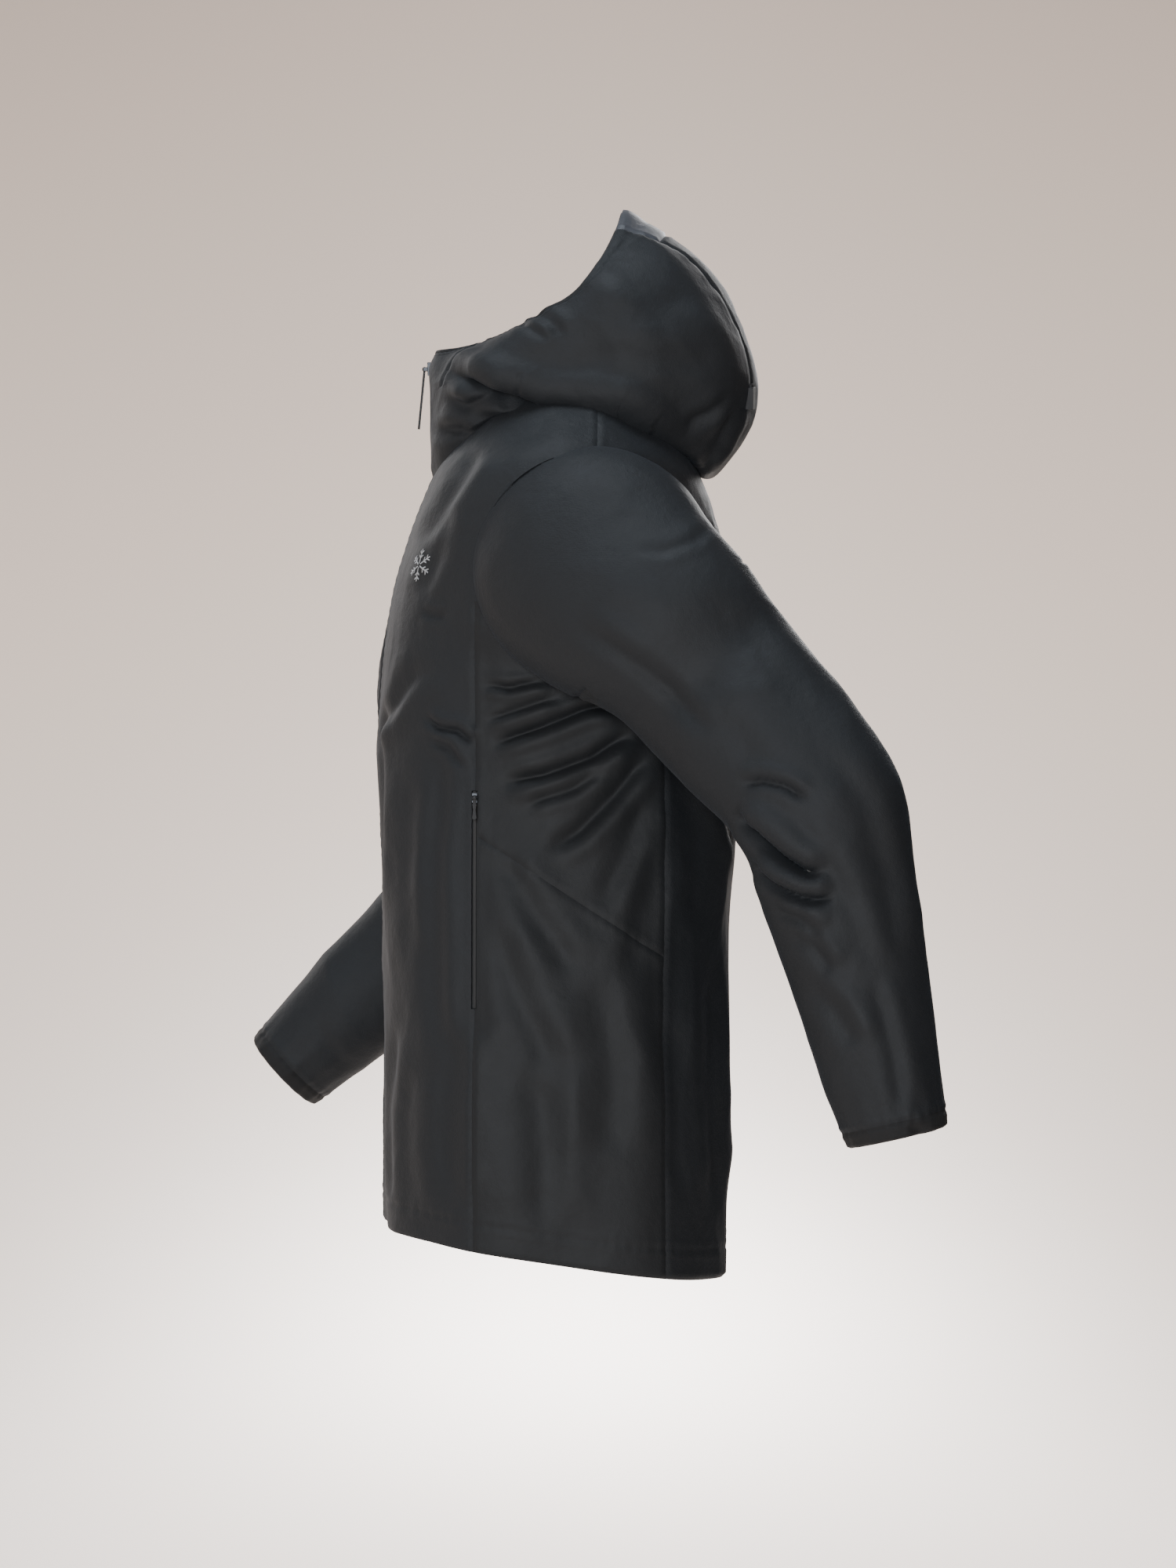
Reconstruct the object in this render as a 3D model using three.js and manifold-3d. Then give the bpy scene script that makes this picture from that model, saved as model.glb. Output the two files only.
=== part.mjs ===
// Insulated hooded shell jacket, worn shape, in millimetres.
// +X is the wearer's left, -Y the front and +Z up. The origin is the middle of the neck.
import * as THREE from 'three';
import { mergeVertices } from 'three/addons/utils/BufferGeometryUtils.js';
import Module from 'manifold-3d';

const wasm = await Module();
wasm.setup();

// ---- Driving dimensions --------------------------------------------------------------------

const SEAM_GAP = 0.3;          // between pieces that are sewn or seated together
const SHELL_WALL = 3.0;        // outer fabric with its insulation
const LINING_WALL = 1.2;
const LINING_DEPTH = SHELL_WALL + 0.5;
const LINING_BACK = LINING_DEPTH + LINING_WALL;

const HEM_Z = -677;            // side of the hem
const HEM_DROP = 21;           // the back of the hem hangs this much lower than the side
const WAIST_Z = -413;
const CHEST_Z = -263;
const ARMPIT_Z = -165;
const SHOULDER_Z = -33;
const NECK_Z = 22;             // side of the neck seam
const NECK_RISE = 27.5;        // front-to-back tilt of the neck seam
const NECK_DIP = 39.5;         // how far the neck seam dips at the front and the nape

const HEM_HALF_WIDTH = 180;
const WAIST_HALF_WIDTH = 167;
const CHEST_HALF_WIDTH = 157;
const SHOULDER_HALF_WIDTH = 152;
const NECK_HALF_WIDTH = 80;

const CHEST_FRONT_Y = -140;
const CHEST_BACK_Y = 155;
const NECK_FRONT_Y = -96;
const NECK_BACK_Y = 90;

const ARMHOLE = new THREE.Vector3(155, 37, -124);   // middle of the left armhole
const ARMHOLE_RADIUS = 96;
const UPPER_ARM_LENGTH = 166;  // from the underarm ring to the elbow
const FOREARM_LENGTH = 265;    // from the elbow to the end of the cuff
const CUFF_RADIUS = 38;
const ELBOW_RADIUS = 67;
const UPPER_ARM_RADIUS = 74;
const SHOULDER_SPLIT_RADIUS = 125;   // the sleeve swings outside this sphere
const ELBOW_SPLIT_RADIUS = 78;       // the forearm swings outside this sphere
const RUNNING_GAP = 0.95;            // between the faces of those spheres

const HOOD_PIVOT = new THREE.Vector3(0, 20, 10);
const HOOD_SPLIT_RADIUS = 130;
const HOOD_CENTRE_WIDTH = 90;
const BRIM_LENGTH = 42;
const HOOD_HEIGHT = 182;             // tip of the brim

const FRONT_SEAM_Y = -58;      // front panel to side panel
const BACK_SEAM_Y = 93;        // side panel to back panel
const SHOULDER_SEAM_Y = 40;
const POCKET_TOP_Z = -301;
const POCKET_LENGTH = 174;
const POCKET_SLIT_WIDTH = 5;
const DIAGONAL_FRONT_Z = -336; // the seam across the side panel, at the front seam
const DIAGONAL_BACK_Z = -434;  // and at the back seam

const ZIP_GAP = 10;            // between the two front panels
const ZIP_TAPE_WIDTH = 14;
const ZIP_COIL_WIDTH = 2.4;
const ZIP_TOP_Z = 56;
const SLIDER = { width: 8, depth: 3.4, height: 11 };
const PULL = { width: 5, depth: 1.8, length: 50 };
const PULL_TILT = THREE.MathUtils.degToRad(7);
const POCKET_PULL = { width: 3.6, depth: 1.4, length: 18 };

const HEM_FACING_HEIGHT = 26;
const CUFF_BINDING_LENGTH = 13;

// ---- Colours -------------------------------------------------------------------------------

const FINISHES = {
  shell: { color: 0x2c2e31, roughness: 0.62, metalness: 0 },
  brim: { color: 0x3d424a, roughness: 0.6, metalness: 0 },
  lining: { color: 0x1f2022, roughness: 0.5, metalness: 0 },
  binding: { color: 0x232426, roughness: 0.75, metalness: 0 },
  tape: { color: 0x1c1d1f, roughness: 0.8, metalness: 0 },
  coil: { color: 0x17181a, roughness: 0.4, metalness: 0 },
  metal: { color: 0x3a3c40, roughness: 0.35, metalness: 0.9 },
  rubber: { color: 0x202124, roughness: 0.6, metalness: 0 },
  thread: { color: 0xb9bcc0, roughness: 0.55, metalness: 0 },
  label: { color: 0x4a4c50, roughness: 0.8, metalness: 0 },
};

const jacket = new THREE.Group();

function addPart(name, geometry, finish, place = null) {
  const mesh = new THREE.Mesh(geometry, new THREE.MeshStandardMaterial(FINISHES[finish]));
  mesh.name = name;
  if (place) {
    mesh.position.copy(place.position);
    mesh.quaternion.copy(place.quaternion);
  }
  jacket.add(mesh);
}

// ---- Solids --------------------------------------------------------------------------------

function toSolid(geometry) {
  const bare = geometry.clone();
  bare.deleteAttribute('normal');
  bare.deleteAttribute('uv');
  const merged = mergeVertices(bare, 1e-4);
  return new wasm.Manifold(new wasm.Mesh({
    numProp: 3,
    vertProperties: new Float32Array(merged.attributes.position.array),
    triVerts: new Uint32Array(merged.index.array),
  }));
}

function toGeometry(solid) {
  const mesh = solid.getMesh();
  const geometry = new THREE.BufferGeometry();
  geometry.setAttribute('position', new THREE.BufferAttribute(mesh.vertProperties, 3));
  geometry.setIndex(new THREE.BufferAttribute(mesh.triVerts, 1));
  return geometry;
}

function indexedGeometry(points, triangles, mirror) {
  const side = mirror ? -1 : 1;
  const geometry = new THREE.BufferGeometry();
  const positions = points.flatMap((p) => [side * p.x, p.y, p.z]);
  geometry.setAttribute('position', new THREE.Float32BufferAttribute(positions, 3));
  geometry.setIndex(triangles.flatMap(([a, b, c]) => (mirror ? [a, c, b] : [a, b, c])));
  return geometry;
}

// A box between two corners. Any bound may be left out and is then far away.
const FAR = 1500;

function box({ x = [-FAR, FAR], y = [-FAR, FAR], z = [-FAR, FAR] }) {
  const geometry = new THREE.BoxGeometry(x[1] - x[0], y[1] - y[0], z[1] - z[0]);
  geometry.translate((x[0] + x[1]) / 2, (y[0] + y[1]) / 2, (z[0] + z[1]) / 2);
  return toSolid(geometry);
}

// A ball whose poles lie on its X axis, so that turning about X keeps its facets in rings.
function ball(centre, radius) {
  const geometry = new THREE.SphereGeometry(radius, 32, 16);
  geometry.rotateZ(Math.PI / 2);
  geometry.translate(centre.x, centre.y, centre.z);
  return toSolid(geometry);
}

// ---- Curves and sheets ---------------------------------------------------------------------

// Smooth curve through [position, value] stations, level with its end stations outside them.
function curve(stations, at) {
  const last = stations.length - 1;
  const x = Math.min(Math.max(at, stations[0][0]), stations[last][0]);
  let i = 0;
  while (i < last - 1 && x > stations[i + 1][0]) {
    i += 1;
  }
  const [x0, y0] = stations[i];
  const [x1, y1] = stations[i + 1];
  const before = stations[Math.max(i - 1, 0)];
  const after = stations[Math.min(i + 2, last)];
  const span = x1 - x0;
  const slope0 = (span * (y1 - before[1])) / (x1 - before[0]);
  const slope1 = (span * (after[1] - y0)) / (after[0] - x0);
  const t = (x - x0) / span;
  const t2 = t * t;
  const t3 = t2 * t;
  return (2 * t3 - 3 * t2 + 1) * y0 + (t3 - 2 * t2 + t) * slope0
    + (3 * t2 - 2 * t3) * y1 + (t3 - t2) * slope1;
}

function curveOfPoints(stations, at) {
  const along = (axis) => curve(stations.map(([t, p]) => [t, p[axis]]), at);
  return new THREE.Vector3(along('x'), along('y'), along('z'));
}

// Rows of points, each row closed round the body, moved inwards by a depth.
function inset(rows, depth) {
  const count = rows[0].length;
  return rows.map((row, i) => row.map((point, j) => {
    const round = rows[i][(j + 1) % count].clone().sub(rows[i][(j + count - 1) % count]);
    const above = rows[Math.min(i + 1, rows.length - 1)][j];
    const below = rows[Math.max(i - 1, 0)][j];
    const outward = round.cross(above.clone().sub(below)).normalize();
    return point.clone().addScaledVector(outward, -depth);
  }));
}

// Faces between two closed rows of points. Flipped faces look the other way on the same diagonals.
function joinRows(triangles, first, second, count, flipped = false) {
  for (let j = 0; j < count; j += 1) {
    const k = (j + 1) % count;
    const pair = [[first + j, first + k, second + k], [first + j, second + k, second + j]];
    triangles.push(...(flipped ? pair.map(([a, b, c]) => [a, c, b]) : pair));
  }
}

// The wall between two depths below a sheet of closed rows, open at both ends.
function tubeWall(rows, outerDepth, innerDepth, mirror = false) {
  const outer = inset(rows, outerDepth).flat();
  const inner = inset(rows, innerDepth).flat();
  const count = rows[0].length;
  const triangles = [];
  for (let i = 0; i < rows.length - 1; i += 1) {
    joinRows(triangles, i * count, (i + 1) * count, count);
    joinRows(triangles, outer.length + i * count, outer.length + (i + 1) * count, count, true);
  }
  joinRows(triangles, outer.length, 0, count);
  joinRows(triangles, outer.length - count, 2 * outer.length - count, count);
  return toSolid(indexedGeometry([...outer, ...inner], triangles, mirror));
}

// Everything inside a sheet of closed rows, with a flat fan over each end.
function tubePlug(rows, depth, mirror = false) {
  const skin = inset(rows, depth);
  const count = rows[0].length;
  const middle = (row) => row.reduce((sum, p) => sum.add(p), new THREE.Vector3()).divideScalar(count);
  const points = [...skin.flat(), middle(skin[0]), middle(skin[skin.length - 1])];
  const low = count * rows.length;
  const high = low + 1;
  const top = low - count;
  const triangles = [];
  for (let i = 0; i < rows.length - 1; i += 1) {
    joinRows(triangles, i * count, (i + 1) * count, count);
  }
  for (let j = 0; j < count; j += 1) {
    const k = (j + 1) % count;
    triangles.push([k, j, low]);
    triangles.push([top + j, top + k, high]);
  }
  return toSolid(indexedGeometry(points, triangles, mirror));
}

// ---- Torso ---------------------------------------------------------------------------------

const TORSO_COLUMNS = 24;
const TORSO_HEIGHTS = [HEM_Z, -530, -390, CHEST_Z, -190, -130, -85, -55, SHOULDER_Z, -8, NECK_Z];

const HALF_WIDTHS = [[HEM_Z, HEM_HALF_WIDTH], [-556, 176], [WAIST_Z, WAIST_HALF_WIDTH],
  [CHEST_Z, CHEST_HALF_WIDTH], [ARMPIT_Z, CHEST_HALF_WIDTH + 1], [-98, CHEST_HALF_WIDTH + 6],
  [-60, CHEST_HALF_WIDTH + 5], [SHOULDER_Z, SHOULDER_HALF_WIDTH], [-10, 127], [6, 105],
  [NECK_Z, NECK_HALF_WIDTH]];
const FRONT_OUTLINE = [[HEM_Z + HEM_DROP, -134], [-491, -135], [-361, CHEST_FRONT_Y + 2],
  [CHEST_Z, CHEST_FRONT_Y], [-198, CHEST_FRONT_Y + 2], [-159, -133], [-130, -127], [-98, -117],
  [-71, -107], [NECK_Z - NECK_DIP - NECK_RISE, NECK_FRONT_Y]];
const BACK_OUTLINE = [[HEM_Z - HEM_DROP, 146], [-556, 147], [WAIST_Z, 148], [-344, 153],
  [CHEST_Z, CHEST_BACK_Y], [-150, 150], [-84, 138], [-62, 133], [-34, 120],
  [NECK_Z + NECK_RISE - NECK_DIP, NECK_BACK_Y]];
const ROW_TILT = [[HEM_Z, -HEM_DROP], [-480, -6], [-300, 0], [-130, 0], [-60, 6], [-16, 16],
  [NECK_Z, NECK_RISE]];
const ROW_DIP = [[HEM_Z, 0], [-130, 0], [-60, -8], [-16, -22], [NECK_Z, -NECK_DIP]];
const ROUNDNESS = [[HEM_Z, 2.6], [ARMPIT_Z, 2.4], [NECK_Z, 2.2]];

function signedPower(value, power) {
  return Math.sign(value) * Math.abs(value) ** power;
}

// A point of the torso's outer face at an angle round it (0 is the left side) and a row height.
function torsoPoint(angle, height) {
  const tilt = curve(ROW_TILT, height);
  const dip = curve(ROW_DIP, height);
  const front = curve(FRONT_OUTLINE, height - tilt + dip);
  const back = curve(BACK_OUTLINE, height + tilt + dip);
  const power = 2 / curve(ROUNDNESS, height);
  const across = signedPower(Math.cos(angle), power);
  const along = signedPower(Math.sin(angle), power);
  return new THREE.Vector3(
    curve(HALF_WIDTHS, height) * across,
    (front + back) / 2 + ((back - front) / 2) * along,
    height + tilt * along + dip * along * along,
  );
}

function torsoRowsAt(heights) {
  return heights.map((height) => Array.from({ length: TORSO_COLUMNS }, (_, j) => (
    torsoPoint((2 * Math.PI * j) / TORSO_COLUMNS, height)
  )));
}

const torsoRows = torsoRowsAt(TORSO_HEIGHTS);

// ---- Hood and collar -----------------------------------------------------------------------

// Meridians from the neck seam to the edge of the face opening, for the wearer's left side.
const HOOD_MERIDIANS = [
  [-90, [[0, -96.6, -20], [0, -97.2, 5], [0, -97.7, 28], [0, -98.2, 48], [0, -93, 64]]],
  [-50, [[60, -76, 2], [74, -70, 30], [78, -62, 47], [70, -52, 62], [55, -39, 71]]],
  [0, [[92, 18, 22], [101, 20, 32], [105, 20, 58], [100, 14, 82], [88, 8, 95]]],
  [45, [[88, 80, 8], [104, 92, 18], [110, 92, 62], [100, 66, 108], [80, 40, 130]]],
  [70, [[48, 124, -22], [70, 146, 2], [80, 146, 62], [66, 108, 128], [44, 56, 162]]],
  [90, [[0, 128, -31], [0, 160, -12], [0, 172, 42], [0, 136, 127], [0, 63, HOOD_HEIGHT]]],
];
const HOOD_LEVELS = [0.004, 0.15, 0.3, 0.5, 0.68, 0.85, 1];

function hoodPoint(angle, level) {
  const folded = Math.atan2(Math.sin(angle), Math.abs(Math.cos(angle)));
  const side = Math.sign(Math.cos(angle)) || 1;
  const degrees = THREE.MathUtils.radToDeg(folded);
  const rises = HOOD_MERIDIANS.map(([meridian, points]) => {
    const foot = torsoPoint(THREE.MathUtils.degToRad(meridian), NECK_Z);
    const stations = [[0, new THREE.Vector3()]];
    points.forEach(([x, y, z], i) => {
      stations.push([(i + 1) / points.length, new THREE.Vector3(x, y, z).sub(foot)]);
    });
    return [meridian, curveOfPoints(stations, level)];
  });
  // The neighbours across the middle keep the sheet smooth over it.
  const across = (meridian, [, p]) => [meridian, new THREE.Vector3(-p.x, p.y, p.z)];
  rises.unshift(across(-180 - rises[1][0], rises[1]));
  rises.push(across(180 - rises[rises.length - 2][0], rises[rises.length - 2]));
  const rise = curveOfPoints(rises, degrees);
  const foot = torsoPoint(folded, NECK_Z);
  return new THREE.Vector3(side * (foot.x + rise.x), foot.y + rise.y, foot.z + rise.z);
}

const hoodRows = HOOD_LEVELS.map((level) => Array.from({ length: TORSO_COLUMNS }, (_, j) => (
  hoodPoint((2 * Math.PI * j) / TORSO_COLUMNS, level)
)));

// ---- Sleeves -------------------------------------------------------------------------------

// Angles are back from straight down and out from the body. Lean moves the arm behind the armhole.
const ARMS = {
  left: { mirror: false, upper: 39, upperOut: 15.5, fore: 13.2, foreOut: 2.6, lean: 17 },
  right: { mirror: true, upper: -18, upperOut: 12.3, fore: -47.2, foreOut: 3.3, lean: 0 },
};
const UNDERARM_FAN = 20;       // the rings of the sleeve head spread this far under the arm
const SLEEVE_COLUMNS = 12;
const SLEEVE_STEPS = [0, 1, 2, 3, 4, 5, 6, 7.5, 10];
const SIDEWAYS = new THREE.Vector3(1, 0, 0);

function armDirection(back, out) {
  const b = THREE.MathUtils.degToRad(back);
  const o = THREE.MathUtils.degToRad(out);
  return new THREE.Vector3(Math.sin(o), Math.sin(b) * Math.cos(o), -Math.cos(b) * Math.cos(o));
}

// The elbow and wrist of an arm, and the ring where the sleeve leaves the underarm.
function armJoints(arm) {
  const down = armDirection(arm.upper, 0);
  const rearward = SIDEWAYS.clone().cross(down);
  const underarm = ARMHOLE.clone().addScaledVector(down, ARMHOLE_RADIUS);
  const start = underarm.clone().addScaledVector(SIDEWAYS, 50).addScaledVector(rearward, arm.lean);
  const elbow = start.clone().addScaledVector(armDirection(arm.upper, arm.upperOut), UPPER_ARM_LENGTH);
  const wrist = elbow.clone().addScaledVector(armDirection(arm.fore, arm.foreOut), FOREARM_LENGTH);
  return { down, rearward, underarm, start, elbow, wrist };
}

// Rings of the sleeve: centre, normal and sideways axis, and the half-widths high and wide.
function sleeveRings(arm) {
  const { down, rearward, underarm, start, elbow, wrist } = armJoints(arm);
  const rings = [{ centre: ARMHOLE.clone().setX(ARMHOLE.x - 85), normal: SIDEWAYS.clone(),
    across: down.clone().negate(), high: ARMHOLE_RADIUS, wide: ARMHOLE_RADIUS }];
  // The sleeve head turns about the underarm from facing sideways to facing down the arm.
  [[0, ARMHOLE_RADIUS, ARMHOLE_RADIUS], [30, 69, 88], [60, 57, 80], [90, 50, UPPER_ARM_RADIUS]]
    .forEach(([turn, wide, high]) => {
      const t = THREE.MathUtils.degToRad(turn);
      const across = SIDEWAYS.clone().multiplyScalar(Math.sin(t)).addScaledVector(down, -Math.cos(t));
      const normal = SIDEWAYS.clone().multiplyScalar(Math.cos(t)).addScaledVector(down, Math.sin(t));
      const centre = underarm.clone().addScaledVector(across, wide)
        .addScaledVector(rearward, arm.lean * Math.sin(t) ** 2)
        .addScaledVector(down, (UNDERARM_FAN * turn) / 90);
      rings.push({ centre, normal, across, high, wide });
    });
  const upper = armDirection(arm.upper, arm.upperOut);
  const fore = armDirection(arm.fore, arm.foreOut);
  const bisector = upper.clone().add(fore).normalize();
  const armRing = (centre, normal, high, wide) => {
    const across = SIDEWAYS.clone().addScaledVector(normal, -normal.x).normalize();
    rings.push({ centre, normal, across, high, wide });
  };
  armRing(start.clone().lerp(elbow, 0.5), upper, 72, 49);
  armRing(elbow.clone(), bisector, ELBOW_RADIUS, 48);
  armRing(elbow.clone().lerp(wrist, 0.3), fore, 59, 45);
  armRing(elbow.clone().lerp(wrist, 0.6), fore, 51, 42);
  armRing(elbow.clone().lerp(wrist, 0.85), fore, 44, 39.5);
  armRing(wrist.clone(), fore, CUFF_RADIUS + 1, CUFF_RADIUS);
  return rings;
}

function sleevePoint(rings, step, angle) {
  const pick = (key) => curveOfPoints(rings.map((ring, i) => [i, ring[key]]), step);
  const size = (key) => curve(rings.map((ring, i) => [i, ring[key]]), step);
  const normal = pick('normal').normalize();
  const across = pick('across');
  across.addScaledVector(normal, -across.dot(normal)).normalize();
  const high = across.clone().cross(normal);
  return pick('centre')
    .addScaledVector(high, size('high') * Math.cos(angle))
    .addScaledVector(across, size('wide') * Math.sin(angle));
}

function sleeveRows(arm) {
  const rings = sleeveRings(arm);
  return SLEEVE_STEPS.map((step) => Array.from({ length: SLEEVE_COLUMNS }, (_, j) => (
    sleevePoint(rings, step, (2 * Math.PI * j) / SLEEVE_COLUMNS)
  )));
}

const SIDES = ['left', 'right'];
const sleeves = {};
for (const side of SIDES) {
  const arm = ARMS[side];
  const rows = sleeveRows(arm);
  const joints = armJoints(arm);
  const flip = arm.mirror ? new THREE.Vector3(-1, 1, 1) : new THREE.Vector3(1, 1, 1);
  sleeves[side] = {
    rows,
    mirror: arm.mirror,
    shoulder: ARMHOLE.clone().multiply(flip),
    underarm: joints.underarm.clone().multiply(flip),
    elbow: joints.elbow.clone().multiply(flip),
    wrist: joints.wrist.clone().multiply(flip),
    forearm: armDirection(arm.fore, arm.foreOut).multiply(flip),
    bend: armDirection((arm.upper + arm.fore) / 2, arm.upperOut / 2).multiply(flip),
    down: joints.down.clone().multiply(flip),
  };
}

// A half-space beyond a plane, as a large box turned to face along the direction.
function beyond(point, direction, offset = 0) {
  const geometry = new THREE.BoxGeometry(2 * FAR, 2 * FAR, 2 * FAR);
  geometry.translate(0, 0, FAR);
  const turn = new THREE.Quaternion().setFromUnitVectors(new THREE.Vector3(0, 0, 1),
    direction.clone().normalize());
  geometry.applyQuaternion(turn);
  const at = point.clone().addScaledVector(direction.clone().normalize(), offset);
  geometry.translate(at.x, at.y, at.z);
  return toSolid(geometry);
}

const half = SEAM_GAP / 2;

function cutSolid(solid, ...cutters) {
  return cutters.reduce((rest, cutter) => rest.subtract(cutter), solid);
}

// Where two curved cuts graze each other they can leave a crumb beside the piece itself.
const CRUMB_SHARE = 0.01;

function withoutCrumbs(solid) {
  const whole = solid.volume();
  const kept = solid.decompose().filter((body) => body.volume() > CRUMB_SHARE * whole);
  return kept.reduce((sum, body) => sum.add(body));
}

function addSolid(name, solid, finish) {
  addPart(name, toGeometry(withoutCrumbs(solid)), finish);
}

// ---- Torso panels --------------------------------------------------------------------------

const armholeCutters = SIDES.map((side) => (
  tubePlug(sleeves[side].rows, -SEAM_GAP, sleeves[side].mirror)
));
const torsoShell = cutSolid(tubeWall(torsoRows, 0, SHELL_WALL), ...armholeCutters);
const sideTopZ = ARMHOLE.z - 26;   // the side panels end here, within the armhole

const facingTop = HEM_Z + HEM_FACING_HEIGHT;
const hemRows = torsoRowsAt([HEM_Z, facingTop]);
addSolid('hem_facing', tubeWall(hemRows, LINING_DEPTH, LINING_BACK)
  .subtract(box({ x: [-ZIP_TAPE_WIDTH - 3, ZIP_TAPE_WIDTH + 3], y: [-FAR, 0] })), 'lining');

// The straight line of the pocket zip, down the front seam.
function seamPoint(height) {
  let low = -Math.PI / 2;
  let high = 0;
  for (let i = 0; i < 40; i += 1) {
    const middle = (low + high) / 2;
    if (torsoPoint(middle, height).y < FRONT_SEAM_Y) {
      low = middle;
    } else {
      high = middle;
    }
  }
  return torsoPoint(low, height);
}

const pocketTop = seamPoint(POCKET_TOP_Z);
const pocketFoot = seamPoint(POCKET_TOP_Z - POCKET_LENGTH);
const pocketDown = pocketFoot.clone().sub(pocketTop).normalize();
const slitHalf = POCKET_SLIT_WIDTH / 2;
const pocketEndZ = POCKET_TOP_Z - POCKET_LENGTH;
const slit = (x) => box({ x, y: [FRONT_SEAM_Y - slitHalf, FRONT_SEAM_Y + slitHalf],
  z: [pocketEndZ, POCKET_TOP_Z] });

const diagonal = new THREE.Vector3(0, DIAGONAL_FRONT_Z - DIAGONAL_BACK_Z, BACK_SEAM_Y - FRONT_SEAM_Y);
const diagonalPoint = new THREE.Vector3(0, FRONT_SEAM_Y, DIAGONAL_FRONT_Z);

const linedTorsoRows = torsoRowsAt([facingTop + 4, ...TORSO_HEIGHTS.filter((z) => z > facingTop + 20)]);
let bodyLining = cutSolid(tubeWall(linedTorsoRows, LINING_DEPTH, LINING_BACK), ...armholeCutters,
  box({ x: [-ZIP_TAPE_WIDTH - 3, ZIP_TAPE_WIDTH + 3], y: [-FAR, 0] }));

for (const side of SIDES) {
  const s = side === 'left' ? 1 : -1;
  const span = (near, far) => (s > 0 ? [near, far] : [-far, -near]);
  const sideStrip = box({ x: span(0, FAR), y: [FRONT_SEAM_Y + half, BACK_SEAM_Y - half],
    z: [-FAR, sideTopZ] });
  const front = torsoShell
    .intersect(box({ x: span(ZIP_GAP / 2, FAR), y: [-FAR, FRONT_SEAM_Y - half] })
      .add(box({ x: span(ZIP_GAP / 2, FAR), y: [-FAR, SHOULDER_SEAM_Y - half],
        z: [sideTopZ, FAR] })))
    .subtract(slit(span(0, FAR)));
  addSolid(`front_panel_${side}`, front, 'shell');

  const sidePanel = torsoShell.intersect(sideStrip).subtract(slit(span(0, FAR)));
  addSolid(`side_panel_upper_${side}`, sidePanel.intersect(beyond(diagonalPoint, diagonal, half)),
    'shell');
  addSolid(`side_panel_lower_${side}`,
    sidePanel.subtract(beyond(diagonalPoint, diagonal, -half)), 'shell');

  // Pocket: zip in the slit, its slider and pull, and the empty bag behind the front panel.
  const reach = 9;
  const strip = (width, extra) => box({ x: span(0, FAR),
    y: [FRONT_SEAM_Y - width / 2, FRONT_SEAM_Y + width / 2],
    z: [pocketEndZ - extra, POCKET_TOP_Z + extra] });
  const tape = tubeWall(torsoRows, SHELL_WALL + SEAM_GAP, LINING_BACK).intersect(strip(2 * reach, 8));
  const coil = tubeWall(torsoRows, 0.9, LINING_BACK).intersect(strip(2.2, -0.5));
  addSolid(`pocket_zip_${side}`, tape.add(coil), 'tape');
  bodyLining = bodyLining.subtract(strip(2 * reach + 4, 11));
  const bag = tubeWall(torsoRows, LINING_BACK + SEAM_GAP, LINING_BACK + 3.5).intersect(box({
    x: span(0, FAR), y: [FRONT_SEAM_Y - 62, FRONT_SEAM_Y + reach],
    z: [pocketEndZ - 70, POCKET_TOP_Z - 30] }));
  addSolid(`pocket_bag_${side}`, bag, 'lining');
}

addSolid('back_panel', torsoShell.intersect(
  box({ y: [SHOULDER_SEAM_Y + half, FAR], z: [sideTopZ, FAR] })
    .add(box({ y: [BACK_SEAM_Y + half, FAR] })),
), 'shell');
addSolid('body_lining', bodyLining, 'lining');

// ---- Hood and collar panels ----------------------------------------------------------------

const torsoClear = tubePlug(torsoRows, -SEAM_GAP);
const hoodShell = tubeWall(hoodRows, 0, SHELL_WALL).subtract(torsoClear);
const hoodInner = tubeWall(hoodRows, LINING_DEPTH, LINING_BACK);
const hoodCore = ball(HOOD_PIVOT, HOOD_SPLIT_RADIUS);
const hoodClear = ball(HOOD_PIVOT, HOOD_SPLIT_RADIUS + RUNNING_GAP);
const COLLAR_BACK_Y = -20;
const hoodFixed = hoodShell.intersect(hoodCore);
const hoodMoving = hoodShell.subtract(hoodClear);
for (const side of SIDES) {
  const s = side === 'left' ? 1 : -1;
  const span = (near, far) => (s > 0 ? [near, far] : [-far, -near]);
  addSolid(`collar_${side}`, hoodFixed.intersect(
    box({ x: span(ZIP_GAP / 2, FAR), y: [-FAR, COLLAR_BACK_Y - half] }),
  ), 'shell');
  addSolid(`hood_side_${side}`, hoodMoving.intersect(
    box({ x: span(HOOD_CENTRE_WIDTH / 2 + half, FAR) }),
  ), 'shell');
}
addSolid('hood_neck_panel', hoodFixed.intersect(box({ y: [COLLAR_BACK_Y + half, FAR] })), 'shell');

const BRIM_DIRECTION = new THREE.Vector3(0, -0.81, 0.586);
const brimTip = hoodPoint(Math.PI / 2, 1);
const brimSide = beyond(brimTip, BRIM_DIRECTION, -BRIM_LENGTH + half);
const crownSide = beyond(brimTip, BRIM_DIRECTION, -BRIM_LENGTH - half);
const centreBand = box({ x: [half - HOOD_CENTRE_WIDTH / 2, HOOD_CENTRE_WIDTH / 2 - half] });
addSolid('hood_centre', hoodMoving.intersect(centreBand).subtract(crownSide), 'shell');
addSolid('hood_brim', hoodMoving.intersect(centreBand).intersect(brimSide), 'brim');

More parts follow.
